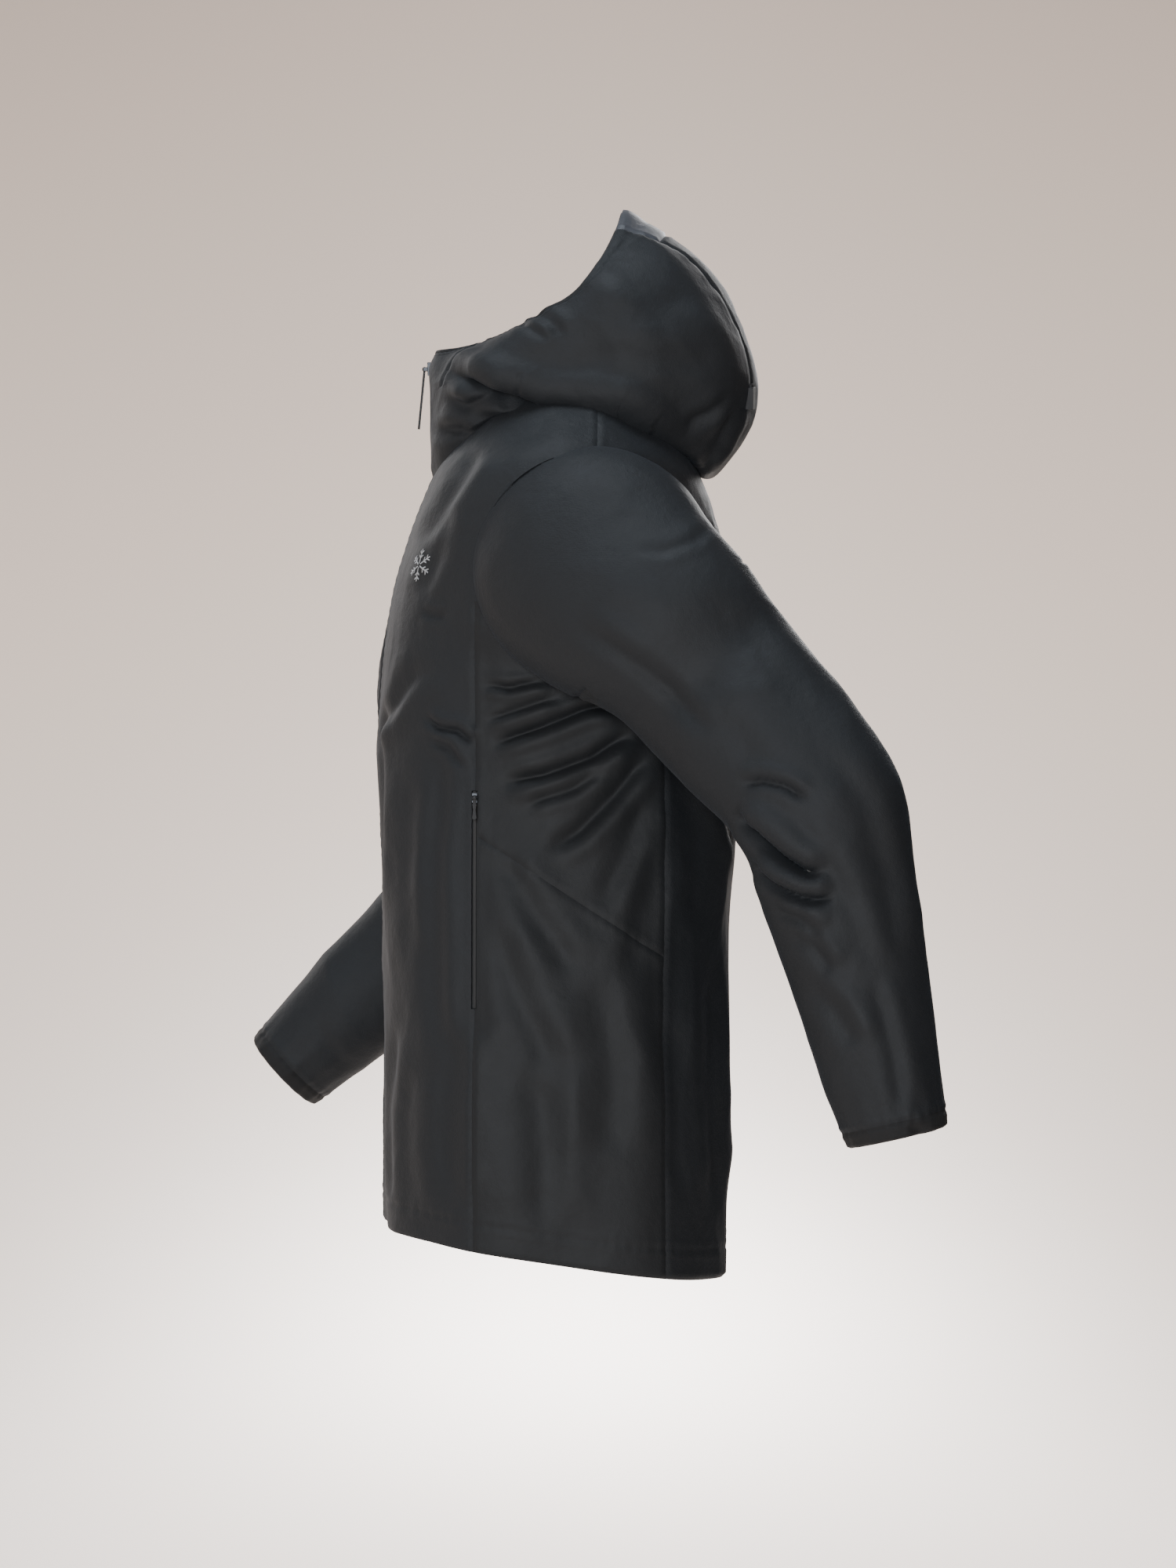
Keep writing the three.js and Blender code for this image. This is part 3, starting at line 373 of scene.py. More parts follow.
def reshape(bm, reach, shape, *settings):
    """Moves the cloth's points as shape(points, normals, reaches, ...) says."""
    bm.normal_update()
    points = np.array([v.co for v in bm.verts])
    normals = np.array([v.normal for v in bm.verts])
    reaches = np.array([v[reach] for v in bm.verts])
    for vert, point in zip(bm.verts, shape(points, normals, reaches, *settings)):
        vert.co = point


def panel(bm, name, chosen, nodes, material, slot):
    """Cuts one padded panel out of a shaped cloth. chosen holds the indices of its faces."""
    part = bm.copy()
    part.faces.ensure_lookup_table()
    bmesh.ops.delete(part, geom=[f for f in part.faces if f.index not in chosen], context="FACES")
    thickness, fill = PADDING[slot == "lining"]
    piece = finish_piece(part, name, nodes, material, thickness)
    return piece


def finish_piece(bm, name, nodes, material, thickness=0.0):
    bmesh.ops.scale(bm, vec=(MM, MM, MM), verts=bm.verts)
    mesh = bpy.data.meshes.new(name)
    for face in bm.faces:
        face.smooth = True
    for edge in bm.edges:
        edge.smooth = not edge.is_boundary
    bm.to_mesh(mesh)
    bm.free()
    piece = bpy.data.objects.new(name, mesh)
    bpy.context.scene.collection.objects.link(piece)
    mesh.materials.append(material)
    if thickness:
        wall = piece.modifiers.new("wall", "SOLIDIFY")
        wall.thickness = thickness * MM
        wall.offset = -1
    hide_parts(*nodes)
    return piece


# ---- Finishes ------------------------------------------------------------------------------

class Line:
    """A value in a material. Operators on it add the Math nodes."""

    def __init__(self, finish, socket):
        self.finish, self.socket = finish, socket

    def _math(self, operation, first, second=None):
        inputs = {0: first} if second is None else {0: first, 1: second}
        return self.finish.node("ShaderNodeMath", dict(operation=operation), inputs)

    def __add__(self, other): return self._math("ADD", self, other)
    def __radd__(self, other): return self._math("ADD", other, self)
    def __sub__(self, other): return self._math("SUBTRACT", self, other)
    def __rsub__(self, other): return self._math("SUBTRACT", other, self)
    def __mul__(self, other): return self._math("MULTIPLY", self, other)
    def __rmul__(self, other): return self._math("MULTIPLY", other, self)
    def __pow__(self, other): return self._math("POWER", self, other)
    def sine(self): return self._math("SINE", self)


class Finish:
    """A material built up from nodes."""

    def __init__(self, name, **fixed):
        self.material = bpy.data.materials.new(name)
        self.material.use_nodes = True
        self.tree = self.material.node_tree
        self.shader = self.tree.nodes["Principled BSDF"]
        for socket, value in fixed.items():
            self.shader.inputs[socket.replace("_", " ")].default_value = value

    def node(self, kind, settings, inputs, output=0):
        node = self.tree.nodes.new(kind)
        for key, value in settings.items():
            if key == "stops":
                for i, (place, color) in enumerate(value):
                    ramp = node.color_ramp.elements
                    stop = ramp[i] if i < 2 else ramp.new(place)
                    stop.position, stop.color = place, color
            else:
                setattr(node, key, value)
        for key, value in inputs.items():
            if isinstance(value, Line):
                self.tree.links.new(value.socket, node.inputs[key])
            else:
                node.inputs[key].default_value = value
        return Line(self, node.outputs[output])

    def feed(self, socket, value):
        self.tree.links.new(value.socket, self.shader.inputs[socket])

    def where(self, output="Object"):
        return self.node("ShaderNodeTexCoord", {}, {}, output)

    def parts(self, vector):
        split = self.tree.nodes.new("ShaderNodeSeparateXYZ")
        self.tree.links.new(vector.socket, split.inputs[0])
        return [Line(self, split.outputs[i]) for i in range(3)]

    def cloud(self, vector, scale, detail=3.0):
        return self.node("ShaderNodeTexNoise", {}, {"Vector": vector, "Scale": scale,
                                                    "Detail": detail})

    def mix(self, factor, first, second):
        return self.node("ShaderNodeMix", dict(data_type="RGBA"),
                         {0: factor, 6: first, 7: second}, 2)

    def bump(self, height, distance, strength=1.0):
        normal = self.node("ShaderNodeBump", {}, {"Height": height, "Distance": distance,
                                                  "Strength": strength})
        self.feed("Normal", normal)


def cloth_finish(name, dark, light, roughness, thread, weave_height, crinkle, **fixed):
    """Plain-woven cloth: crossing threads, fine crinkles, slow changes of tone and gloss, and
    painted shade in the hollows of the crinkles and threads.
    """
    finish = Finish(name, **fixed)
    u, v, _ = finish.parts(finish.where("UV"))
    warp = (u * (2 * math.pi / thread)).sine()
    weft = (v * (2 * math.pi / thread)).sine()
    weave_and_hollow_shade = warp * weft * 0.5 + 0.5
    place = finish.where()
    shade = finish.cloud(place, 7.0, 2.0)
    crinkles_and_hollow_shade = finish.cloud(place, 55.0, 4.0)
    fine = finish.cloud(place, 210.0, 3.0)
    # painted shade: the colour darkens where the crinkles and threads sink, in their hollows
    finish.feed("Base Color", finish.mix(shade * 0.55 + crinkles_and_hollow_shade * 0.25 + weave_and_hollow_shade * 0.2, dark, light))
    finish.feed("Roughness", shade * 0.12 + crinkles_and_hollow_shade * 0.1 + (roughness - 0.1))
    grain = finish.cloud(place, 800.0, 2.0)
    finish.bump(weave_and_hollow_shade * weave_height + crinkles_and_hollow_shade * crinkle + fine * (crinkle * 0.35)
                + grain * (crinkle * 0.22), 0.001)
    return finish.material


SHELL = cloth_finish("shell cloth", (0.0072, 0.0083, 0.0096, 1), (0.0117, 0.0133, 0.0153, 1), 0.60,
                     0.0012, 0.05, 0.9, Specular_IOR_Level=0.13, Sheen_Weight=0.02,
                     Sheen_Roughness=0.4, Sheen_Tint=(0.7, 0.82, 1.0, 1))
SIDE_SHELL = cloth_finish("side shell cloth", (0.0071, 0.0079, 0.0088, 1),
                          (0.0106, 0.0119, 0.0134, 1), 0.56,
                          0.0012, 0.05, 0.7, Specular_IOR_Level=0.12, Sheen_Weight=0.02,
                          Sheen_Roughness=0.4, Sheen_Tint=(0.9, 0.95, 1.0, 1))
# painted highlight: the brim is the shell's own cloth, given a lighter, bluer colour for the
# overhead light that falls on it
BRIM_PAINTED_HIGHLIGHT = cloth_finish("brim cloth", (0.017, 0.019, 0.024, 1), (0.026, 0.029, 0.036, 1), 0.52,
                    0.0012, 0.05, 0.4, Specular_IOR_Level=0.3, Sheen_Weight=0.08,
                    Sheen_Roughness=0.4, Sheen_Tint=(0.75, 0.85, 1.0, 1))
LINING = cloth_finish("lining cloth", (0.0045, 0.0047, 0.005, 1), (0.0085, 0.0088, 0.0095, 1), 0.42,
                      0.0008, 0.03, 0.7, Specular_IOR_Level=0.45)
BINDING = cloth_finish("binding tape", (0.006, 0.0063, 0.0068, 1), (0.010, 0.0105, 0.0115, 1), 0.66,
                       0.0014, 0.10, 0.2, Specular_IOR_Level=0.12, Sheen_Weight=0.02,
                       Sheen_Roughness=0.5)
TAPE = cloth_finish("zip tape cloth", (0.006, 0.0062, 0.0065, 1), (0.011, 0.0113, 0.012, 1), 0.78,
                    0.0011, 0.15, 0.15)


def moulded_finish(name, color, other, roughness, grain, height, **fixed):
    """Moulded or cast stuff with a fine grain, and a little wear in its shade."""
    finish = Finish(name, **fixed)
    place = finish.where()
    speckle = finish.cloud(place, grain, 3.0)
    wear = finish.cloud(place, grain * 0.12, 4.0)
    finish.feed("Base Color", finish.mix(wear, color, other))
    finish.feed("Roughness", speckle * 0.16 + wear * 0.08 + (roughness - 0.12))
    finish.bump(speckle, height)
    return finish.material


COIL = moulded_finish("zip teeth plastic", (0.010, 0.0105, 0.011, 1), (0.02, 0.021, 0.022, 1),
                      0.38, 900, 0.00002)
METAL = moulded_finish("painted zip metal", (0.014, 0.015, 0.017, 1), (0.028, 0.030, 0.034, 1),
                       0.36, 700, 0.00002, Metallic=0.85)
RUBBER = moulded_finish("soft rubber", (0.009, 0.0095, 0.0105, 1), (0.016, 0.0165, 0.018, 1),
                        0.60, 800, 0.00004, Specular_IOR_Level=0.2)


def thread_finish():
    finish = Finish("embroidery thread", Sheen_Weight=0.3)
    place = finish.where()
    x, y, z = finish.parts(place)
    strands_and_groove_shade = ((z + x * 0.35) * (2 * math.pi / 0.0007)).sine() * 0.5 + 0.5
    # painted shade: the thread's colour darkens in the grooves between the raised strands
    finish.feed("Base Color", finish.mix(strands_and_groove_shade, (0.14, 0.145, 0.15, 1), (0.34, 0.35, 0.37, 1)))
    finish.feed("Roughness", strands_and_groove_shade * 0.2 + 0.38)
    finish.bump(strands_and_groove_shade, 0.00025)
    return finish.material


THREAD = thread_finish()

# ---- Fold lines ----------------------------------------------------------------------------

TORSO_FOLDS = [
    # drag lines from the underarm down and forward across the side panel
    fold([(62, -232), (30, -238), (-4, -252), (-48, -266)], 5, 7.0, 4.6, 3.0),
    fold([(24, -206), (-6, -214), (-30, -220), (-54, -216)], 3.6, 4.8, 3.2, 1.6),
    fold([(10, -226), (-20, -236), (-50, -246)], 3.4, 3.6, 2.4, 1.2),
    fold([(72, -252), (36, -276), (-2, -290), (-40, -296)], 6, 7.0, 4.6, 3.0),
    fold([(48, -282), (20, -300), (-18, -312)], 5, 4.0, 3.0, 1.5),
    fold([(84, -268), (54, -306), (26, -334), (-2, -352)], 7, 5.4, 3.8, 2.0),
    fold([(80, -300), (62, -352), (40, -400)], 10, 3.0, 2.4),
    fold([(88, -340), (76, -400), (66, -450)], 12, 2.6, 2.0),
    fold([(-40, -345), (-10, -400), (25, -450)], 10, 2.8, 2.2),
    fold([(-45, -400), (-20, -470), (10, -530)], 12, 3.0, 2.4),
    fold([(40, -440), (52, -520), (50, -600)], 14, 3.4, 2.6),
    fold([(-10, -520), (0, -590), (-6, -650)], 14, 3.2, 2.4),
    fold([(95, -470), (108, -550), (104, -630)], 13, 3.0, 2.4),
    fold([(100, -250), (118, -330), (120, -420)], 12, 3.0, 2.4),
    # pinches and long soft folds of the front panel
    fold([(-100, -240), (-86, -250), (-72, -252), (-57, -264)], 3.6, 5.0, 3.4, 2.0),
    fold([(-96, -258), (-80, -266), (-66, -284)], 3.6, 3.0, 2.2, 1.0),
    fold([(-101, -157), (-90, -160), (-80, -160)], 3.5, 2.0, 1.6),
    fold([(-84, -255), (-92, -350), (-90, -470), (-84, -520)], 9, 4.4, 3.6),
    fold([(-108, -280), (-112, -360), (-110, -450)], 8, 2.8, 2.4),
    fold([(-72, -480), (-80, -560), (-78, -640)], 12, 3.4, 2.8),
    fold([(-110, -520), (-116, -590), (-112, -650)], 10, 2.6, 2.2),
    fold([(-50, -22), (-76, -64), (-104, -108)], 8, 3.6, 3.0, 1.2),
    fold([(-72, -70), (-88, -112), (-104, -150)], 7, 2.4, 2.0),
    # front, back and the side away from the emblem
    fold([(-36, -150), (-46, -260), (-40, -380)], 12, 3.0, 2.4, face="front"),
    fold([(52, -210), (60, -300), (48, -420)], 12, 3.2, 2.6, face="front"),
    fold([(-90, -240), (-60, -330), (-76, -430)], 11, 3.4, 2.8, face="front"),
    fold([(96, -480), (80, -560), (88, -650)], 13, 3.2, 2.6, face="front"),
    fold([(-70, -470), (-56, -560), (-66, -650)], 13, 3.2, 2.6, face="front"),
    fold([(-120, -200), (-70, -232), (-14, -238)], 9, 3.6, 3.0, face="front"),
    fold([(124, -196), (84, -236), (40, -250)], 9, 3.6, 3.0, face="front"),
    fold([(-120, -180), (-60, -230), (0, -246), (60, -232), (118, -184)], 13, 4.2, 3.2, 1.5,
         face="back"),
    fold([(-112, -250), (-60, -300), (-10, -318)], 11, 3.4, 2.6, face="back"),
    fold([(112, -262), (70, -330), (30, -350)], 11, 3.4, 2.6, face="back"),
    fold([(-80, -380), (-66, -480), (-84, -620)], 15, 3.6, 3.0, face="back"),
    fold([(20, -400), (34, -500), (22, -640)], 15, 3.8, 3.0, face="back"),
    fold([(96, -430), (104, -530), (92, -650)], 14, 3.4, 2.8, face="back"),
    fold([(-110, -90), (-60, -112), (0, -116), (60, -110), (108, -88)], 12, 2.8, 2.2, face="back"),
    fold([(60, -218), (10, -246), (-40, -262)], 8, 4.6, 3.4, 1.5, "right"),
    fold([(20, -200), (-20, -214), (-54, -216)], 5, 3.0, 2.4, 1.0, "right"),
    fold([(78, -256), (30, -300), (-20, -334)], 9, 4.6, 3.4, 1.5, "right"),
    fold([(86, -300), (70, -370), (50, -430)], 11, 3.2, 2.4, face="right"),
    fold([(-40, -360), (-14, -430), (16, -500)], 11, 3.2, 2.4, face="right"),
    fold([(44, -470), (58, -560), (54, -640)], 14, 3.4, 2.6, face="right"),
    fold([(-26, -540), (-16, -600), (-20, -655)], 13, 3.2, 2.4, face="right"),
    fold([(-88, -280), (-98, -380), (-92, -500)], 10, 4.0, 3.2, face="right"),
    fold([(-60, -30), (-80, -74), (-104, -118)], 8, 3.6, 3.0, 1.2, "right"),
    fold([(108, -300), (120, -400), (116, -500)], 12, 3.0, 2.4, face="right"),
]

HOOD_FOLDS = []
for which in ("left", "right"):
    HOOD_FOLDS += [
        # the hood drops over its neck panel in one long deep fold
        fold([(-92, 46), (-56, 34), (-4, 19), (28, 17), (58, 12), (82, 0), (100, -18), (118, -38)],
             7, 13.5, 9.5, 11.5, which),
        fold([(150, 22), (132, 6), (108, -4)], 4.5, 3.4, 2.8, 0.8, which),
        fold([(154, 16), (140, -14), (122, -30)], 4.5, 3.4, 2.8, 0.8, which),
        fold([(-30, 84), (-10, 70), (2, 62)], 4, 1.8, 1.4, 0, which),
        fold([(-20, 88), (0, 80), (16, 64)], 5, 1.6, 1.4, 0, which),
        fold([(150, 50), (110, 44), (60, 52), (10, 50)], 13, 2.2, 1.2, 0.6, which),
        fold([(120, 112), (90, 84), (40, 76)], 14, 1.4, 0.9, 0, which),
        fold([(-88, 22), (-66, 14), (-40, 24), (-20, 8)], 5, 3.4, 3.0, 1.6, which),
        fold([(-96, -4), (-70, -6), (-46, -20), (-30, -34)], 5.5, 3.4, 3.0, 1.4, which),
        fold([(-30, 10), (0, -4), (30, -6), (56, -16)], 6, 3.2, 2.8, 1.2, which),
    ]

# ---- Torso cloth ---------------------------------------------------------------------------

FRONT_TURN = -math.pi / 2


def torso_place(u, v):
    return torso_point(FRONT_TURN + 2 * math.pi * u, HEM_Z + (NECK_Z - HEM_Z) * v)


def armhole_distance(y, z):
    return np.hypot(y - ARMHOLE[1], z - ARMHOLE[2])


ARMHOLE_CUT = ARMHOLE_RADIUS - 2.5
ARMHOLE_RISE = 8               # how far the panels lift to meet the sleeve


def open_armholes(bm, spacing):
    """Draws the nearest points onto the armhole's edge and takes the cloth inside away."""
    for vert in bm.verts:
        dy, dz = vert.co.y - ARMHOLE[1], vert.co.z - ARMHOLE[2]
        r = math.hypot(dy, dz)
        if abs(r - ARMHOLE_CUT) < spacing and abs(vert.co.x) > SIDE_X:
            vert.co.y = ARMHOLE[1] + dy * ARMHOLE_CUT / r
            vert.co.z = ARMHOLE[2] + dz * ARMHOLE_CUT / r
    trim(bm, lambda c: abs(c.x) > SIDE_X and armhole_distance(c.y, c.z) < ARMHOLE_CUT - 0.2)


FAR = 99.0                     # beyond the reach of any seam
DIAGONAL_TOP_Z = -336          # the seam across the side panel starts here and drops to the back
DIAGONAL_DROP = 98
DIAGONAL_POINT = Vector((0, FRONT_SEAM_Y, DIAGONAL_TOP_Z))
DIAGONAL_NORMAL = Vector((0, DIAGONAL_DROP, BACK_SEAM_Y - FRONT_SEAM_Y)).normalized()


def torso_seams(points):
    """Distance from the nearest seam, and the place along it."""
    x, y, z = points.T
    low = z < SIDE_TOP_Z
    front = np.where(low, np.abs(y - FRONT_SEAM_Y), FAR)
    back = np.where(low & (np.abs(x) > 20), np.abs(y - BACK_SEAM_Y), FAR)
    shoulder = np.where(~low & (np.abs(x) > 20), np.abs(y - SHOULDER_SEAM_Y), FAR)
    side = low & (y > FRONT_SEAM_Y) & (y < BACK_SEAM_Y)
    slope = np.abs((points - np.array(DIAGONAL_POINT)) @ np.array(DIAGONAL_NORMAL))
    slope = np.where(side, slope, FAR)
    nearest = np.min([front, back, shoulder, slope], axis=0)
    along = np.where(slope == nearest, y, np.where(shoulder == nearest, x, z))
    return nearest, along


def sew(points, normals, distance, along, depth=1.5, width=1.7):
    """Sinks a seam into the cloth, puckered along its length."""
    pucker = 0.3 * np.sin(along * (2 * math.pi / 8.5)) * np.exp(-(distance / 5) ** 2)
    ridge = 0.4 * np.exp(-((distance - 4.2) / 2.2) ** 2)
    sink = -depth * np.exp(-(distance / width) ** 2)
    return points + normals * (sink + ridge + pucker)[:, None]


def roll_edge(points, normals, distance, radius=3.0):
    """Turns the cloth's free edge inwards over a small radius."""
    t = np.clip((radius - distance) / radius, 0, 1)
    return points - normals * (radius * (1 - np.sqrt(1 - 0.98 * t * t)))[:, None]


def shape_torso(points, normals, _, depth=0.0, quiet=1.0):
    x, y, z = points.T
    calm = smooth(0, 16, armhole_distance(y, z) - ARMHOLE_CUT) * smooth(0, 14, NECK_Z - z + 60)
    calm = np.where(np.abs(x) > SIDE_X, calm, 1.0)
    moved = press_folds(points, normals, TORSO_FOLDS)
    moved = rumple(moved, normals, 80, 1.5, (1, 1, 0.45), 3.1)
    moved = rumple(moved, normals, 26, 0.3, (1, 1, 0.6), 9.7)
    wave = np.sin(np.arctan2(y, x) * 9 + 1.3 + z * 0.006) * 2.4 * smooth(-400, -660, z)
    moved += normals * wave[:, None]
    pocket = (np.exp(-((y - FRONT_SEAM_Y) / 13) ** 2)
              * smooth(POCKET_TOP_Z - POCKET_LENGTH - 30, POCKET_TOP_Z - POCKET_LENGTH - 6, z)
              * smooth(POCKET_TOP_Z + 22, POCKET_TOP_Z + 4, z))
    moved = points + (moved - points) * (calm * quiet * (1 - 0.9 * pocket))[:, None]
    # the panels rise to meet the sleeve at the front and top of the armhole
    rise = np.exp(-((armhole_distance(y, z) - ARMHOLE_CUT) / 24) ** 2) * (np.abs(x) > SIDE_X)
    rise = rise * smooth(62, 10, y) * smooth(-205, -165, z)
    moved[:, 0] += ARMHOLE_RISE * rise * np.sign(x)
    distance, along = torso_seams(points)
    if depth == 0:
        # the shoulder and diagonal seams lie flatter than the upright ones
        upright = (np.abs(y - FRONT_SEAM_Y) <= 8) | (np.abs(y - BACK_SEAM_Y) <= 8)
        flat_seam = (z > SIDE_TOP_Z) | ~upright
        moved = sew(moved, normals, np.where(flat_seam, FAR, distance), along, 0.9, 1.4)
        moved = sew(moved, normals, np.where(flat_seam, distance, FAR), along, 0.5, 1.0)
        edge = z - (HEM_Z + torso_row(HEM_Z)[0] * (y / 146.0))
        moved = roll_edge(moved, normals, edge, 3.5)
        moved = sew(moved, normals, np.abs(edge - 24), y, 0.45)
        front = np.where(y < 0, np.abs(x) - ZIP_HALF_GAP, FAR)
        moved = roll_edge(moved, normals, front, 2.5)
        moved = sew(moved, normals, np.where(y < FRONT_Y, np.abs(np.abs(x) - 13), FAR), z, 0.6)
    return moved - normals * depth


def torso_cloth(columns, rows):
    bm, reach = lay_cloth(columns, rows, torso_place, *TORSO_CLOTH)
    face_outwards(bm, Vector((0, 10, -330)))
    return bm, reach


def below_armhole(c):
    return c.z < SIDE_TOP_Z + 6


def beside_zip(c):
    return c.y < FRONT_Y and abs(c.x) < FITTING_GAP


def open_front(bm):
    """A clean gap for the zip down the front of a cloth."""
    for x in (-ZIP_HALF_GAP, ZIP_HALF_GAP):
        cut(bm, (x, 0, 0), (1, 0, 0), lambda c: c.y < FRONT_Y and abs(c.x) < 20)
    trim(bm, lambda c: c.y < FRONT_Y and abs(c.x) < ZIP_HALF_GAP)


torso_tree = BVHTree.FromBMesh(torso_cloth(150, 110)[0])

outer, reach = torso_cloth(330, 260)
cut(outer, (0, FRONT_SEAM_Y, 0), (0, 1, 0), below_armhole)
cut(outer, (0, BACK_SEAM_Y, 0), (0, 1, 0), below_armhole)
cut(outer, (0, SHOULDER_SEAM_Y, 0), (0, 1, 0), lambda c: c.z > SIDE_TOP_Z - 6)
cut(outer, DIAGONAL_POINT, DIAGONAL_NORMAL, lambda c: -470 < c.z < -300)
open_front(outer)


def in_slit(c):
    return abs(c.y - FRONT_SEAM_Y) < 2.4 and POCKET_TOP_Z - POCKET_LENGTH < c.z < POCKET_TOP_Z


for y in (-2.4, 2.4):
    cut(outer, (0, FRONT_SEAM_Y + y, 0), (0, 1, 0),
        lambda c: abs(c.y - FRONT_SEAM_Y) < 8 and POCKET_TOP_Z - POCKET_LENGTH - 6 < c.z
        < POCKET_TOP_Z + 6)
for z in (POCKET_TOP_Z, POCKET_TOP_Z - POCKET_LENGTH):
    cut(outer, (0, 0, z), (0, 0, 1), lambda c: abs(c.y - FRONT_SEAM_Y) < 8)
trim(outer, in_slit)
open_armholes(outer, 1.6)


def torso_panel_at(c):
    side = "left" if c.x > 0 else "right"
    if c.z < SIDE_TOP_Z and FRONT_SEAM_Y < c.y < BACK_SEAM_Y:
        high = (c - DIAGONAL_POINT).dot(DIAGONAL_NORMAL) > 0
        return f"side_panel_upper_{side}" if high else f"side_panel_lower_{side}"
    if (c.z < SIDE_TOP_Z and c.y < 0) or (c.z >= SIDE_TOP_Z and c.y < SHOULDER_SEAM_Y):
        return f"front_panel_{side}"
    return "back_panel"


regions = panels_of(outer, torso_panel_at)
reshape(outer, reach, shape_torso)
outer.normal_update()
shaped_torso = BVHTree.FromBMesh(outer)
PANEL_CLOTH = {"front": SHELL, "back": SHELL, "side": SIDE_SHELL}
for key, chosen in regions.items():
    piece = panel(outer, key + "_cloth", chosen, [key], PANEL_CLOTH[key.split("_")[0]], "shell")
    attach(piece, "body_of_jacket")


def snow_star():
    """A small star of raised satin stitches: six arms, each with two short branches."""
    low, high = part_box("chest_emblem")
    middle = (Vector(low) + Vector(high)) / 2 / MM
    centre = (middle.x, middle.z)
    radius = (high[2] - low[2]) / 2 / MM
    strokes = []
    for k in range(6):
        a = math.radians(90 + 60 * k)
        tip = (radius * math.cos(a), radius * math.sin(a))
        strokes.append(((0.12 * tip[0], 0.12 * tip[1]), tip))
        for part, turn in ((0.45, 50), (0.45, -50), (0.72, 50), (0.72, -50)):
            b = a + math.radians(turn)
            root = (part * tip[0], part * tip[1])
            strokes.append((root, (root[0] + 0.26 * radius * math.cos(b),
                                   root[1] + 0.26 * radius * math.sin(b))))
    bm = bmesh.new()
    for start, end in strokes:
        steps = max(int(math.dist(start, end) / 0.42), 2)
        for i in range(steps):
            t = (i + 0.5) / steps
            x = centre[0] + start[0] + (end[0] - start[0]) * t
            z = centre[1] + start[1] + (end[1] - start[1]) * t
            spot, out = shaped_torso.ray_cast(Vector((x, -400, z)), Vector((0, 1, 0)))[:2]
            lean = math.atan2(end[1] - start[1], end[0] - start[0]) + 0.5
            turn = (out.to_track_quat("Z", "Y").to_matrix().to_4x4()
                    @ Matrix.Rotation(lean, 4, "Z"))
            place = (Matrix.Translation(spot + out * 0.25) @ turn
                     @ Matrix.Diagonal((0.24, 0.85, 0.24, 1)))
            bmesh.ops.create_icosphere(bm, subdivisions=1, radius=1.0, matrix=place)
    star = finish_piece(bm, "chest_emblem_stitches", ["chest_emblem"], THREAD)
    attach(star, "body_of_jacket")


snow_star()


def lining_panel(bm, name, nodes):
    """A whole cloth as one lining."""
    return panel(bm, name, panels_of(bm, lambda c: name)[name], nodes, LINING, "lining")


lining, reach = torso_cloth(120, 90)
trim(lining, beside_zip)
open_armholes(lining, 3.5)
reshape(lining, reach, shape_torso, LINING_DEPTH, 0.7)
body_lining = lining_panel(lining, "body_lining_cloth", ["body_lining", "hem_facing"])
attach(body_lining, "body_of_jacket")

# ---- Hood cloth ----------------------------------------------------------------------------

NECK_FOLD = [(-92, 46), (58, 12), (118, -38)]


def hood_place(u, v):
    return hood_point(FRONT_TURN + 2 * math.pi * u, 0.004 + 0.996 * v)


BRIM_DIRECTION = Vector((0, -0.81, 0.586))
BRIM_TIP = Vector(hood_point(math.pi / 2, 1))
BRIM_LENGTH = 42


def brim_depth(c):
    """How far a point lies behind the front of the brim."""
    return (BRIM_TIP - Vector(c)).dot(BRIM_DIRECTION)


def above_fold(c):
    (y0, z0), (y1, z1), (y2, z2) = NECK_FOLD
    if c.y < y1:
        return c.z > z0 + (z1 - z0) * (c.y - y0) / (y1 - y0)
    return c.z > z1 + (z2 - z1) * (c.y - y1) / (y2 - y1)


def across_plane(start, end):
    return Vector((0, start[1] - end[1], end[0] - start[0])).normalized()


def shape_hood(points, normals, levels, depth=0.0, quiet=1.0):
    x, y, z = points.T
    moved = press_folds(points, normals, HOOD_FOLDS)
    # the hood's fullness hangs over the neck seam all round
    droop = np.exp(-((levels - 0.2) / 0.1) ** 2) * smooth(-60, -10, y)
    moved += normals * (4.5 * droop)[:, None]
    moved[:, 2] -= 7.0 * droop
    moved = rumple(moved, normals, 60, 1.4, (1, 0.7, 1), 5.3)
    moved = rumple(moved, normals, 22, 0.3, (1, 0.8, 1), 2.2)
    behind = (np.array(BRIM_TIP) - points) @ np.array(BRIM_DIRECTION)
    firm = np.where((np.abs(x) < SEAM_X + 6) & (z > 90), smooth(40, 70, behind), 1.0)
    calm = smooth(0, 0.08, levels) * (0.25 + 0.75 * firm) * quiet
    moved = points + (moved - points) * calm[:, None]
    if depth == 0:
        top = z > 30
        band = np.where(top, np.abs(np.abs(x) - SEAM_X), FAR)
        brim = np.where(np.abs(x) < SEAM_X, np.abs(behind - BRIM_LENGTH), FAR)
        collar = np.where((y < 0) & (z < 40), np.abs(y - COLLAR_SEAM_Y), FAR)
        distance = np.min([band, np.where(z > 60, brim, FAR)], axis=0)
        moved = sew(moved, normals, distance, y)
        moved = sew(moved, normals, collar, z, 0.8)
        edge = (1 - levels) * 190
        moved = roll_edge(moved, normals, edge, 3.0)
        moved = sew(moved, normals, np.abs(edge - 9), y + x, 0.7, 1.4)
        front = np.where((y < FRONT_Y) & (z < ZIP_TOP_Z + 4), np.abs(x) - ZIP_HALF_GAP, FAR)
        moved = roll_edge(moved, normals, front, 2.5)
    return moved - normals * depth


def hood_cloth(columns, rows):
    bm, reach = lay_cloth(columns, rows, hood_place, *HOOD_CLOTH)
    face_outwards(bm, Vector((0, 30, 50)))
    return bm, reach


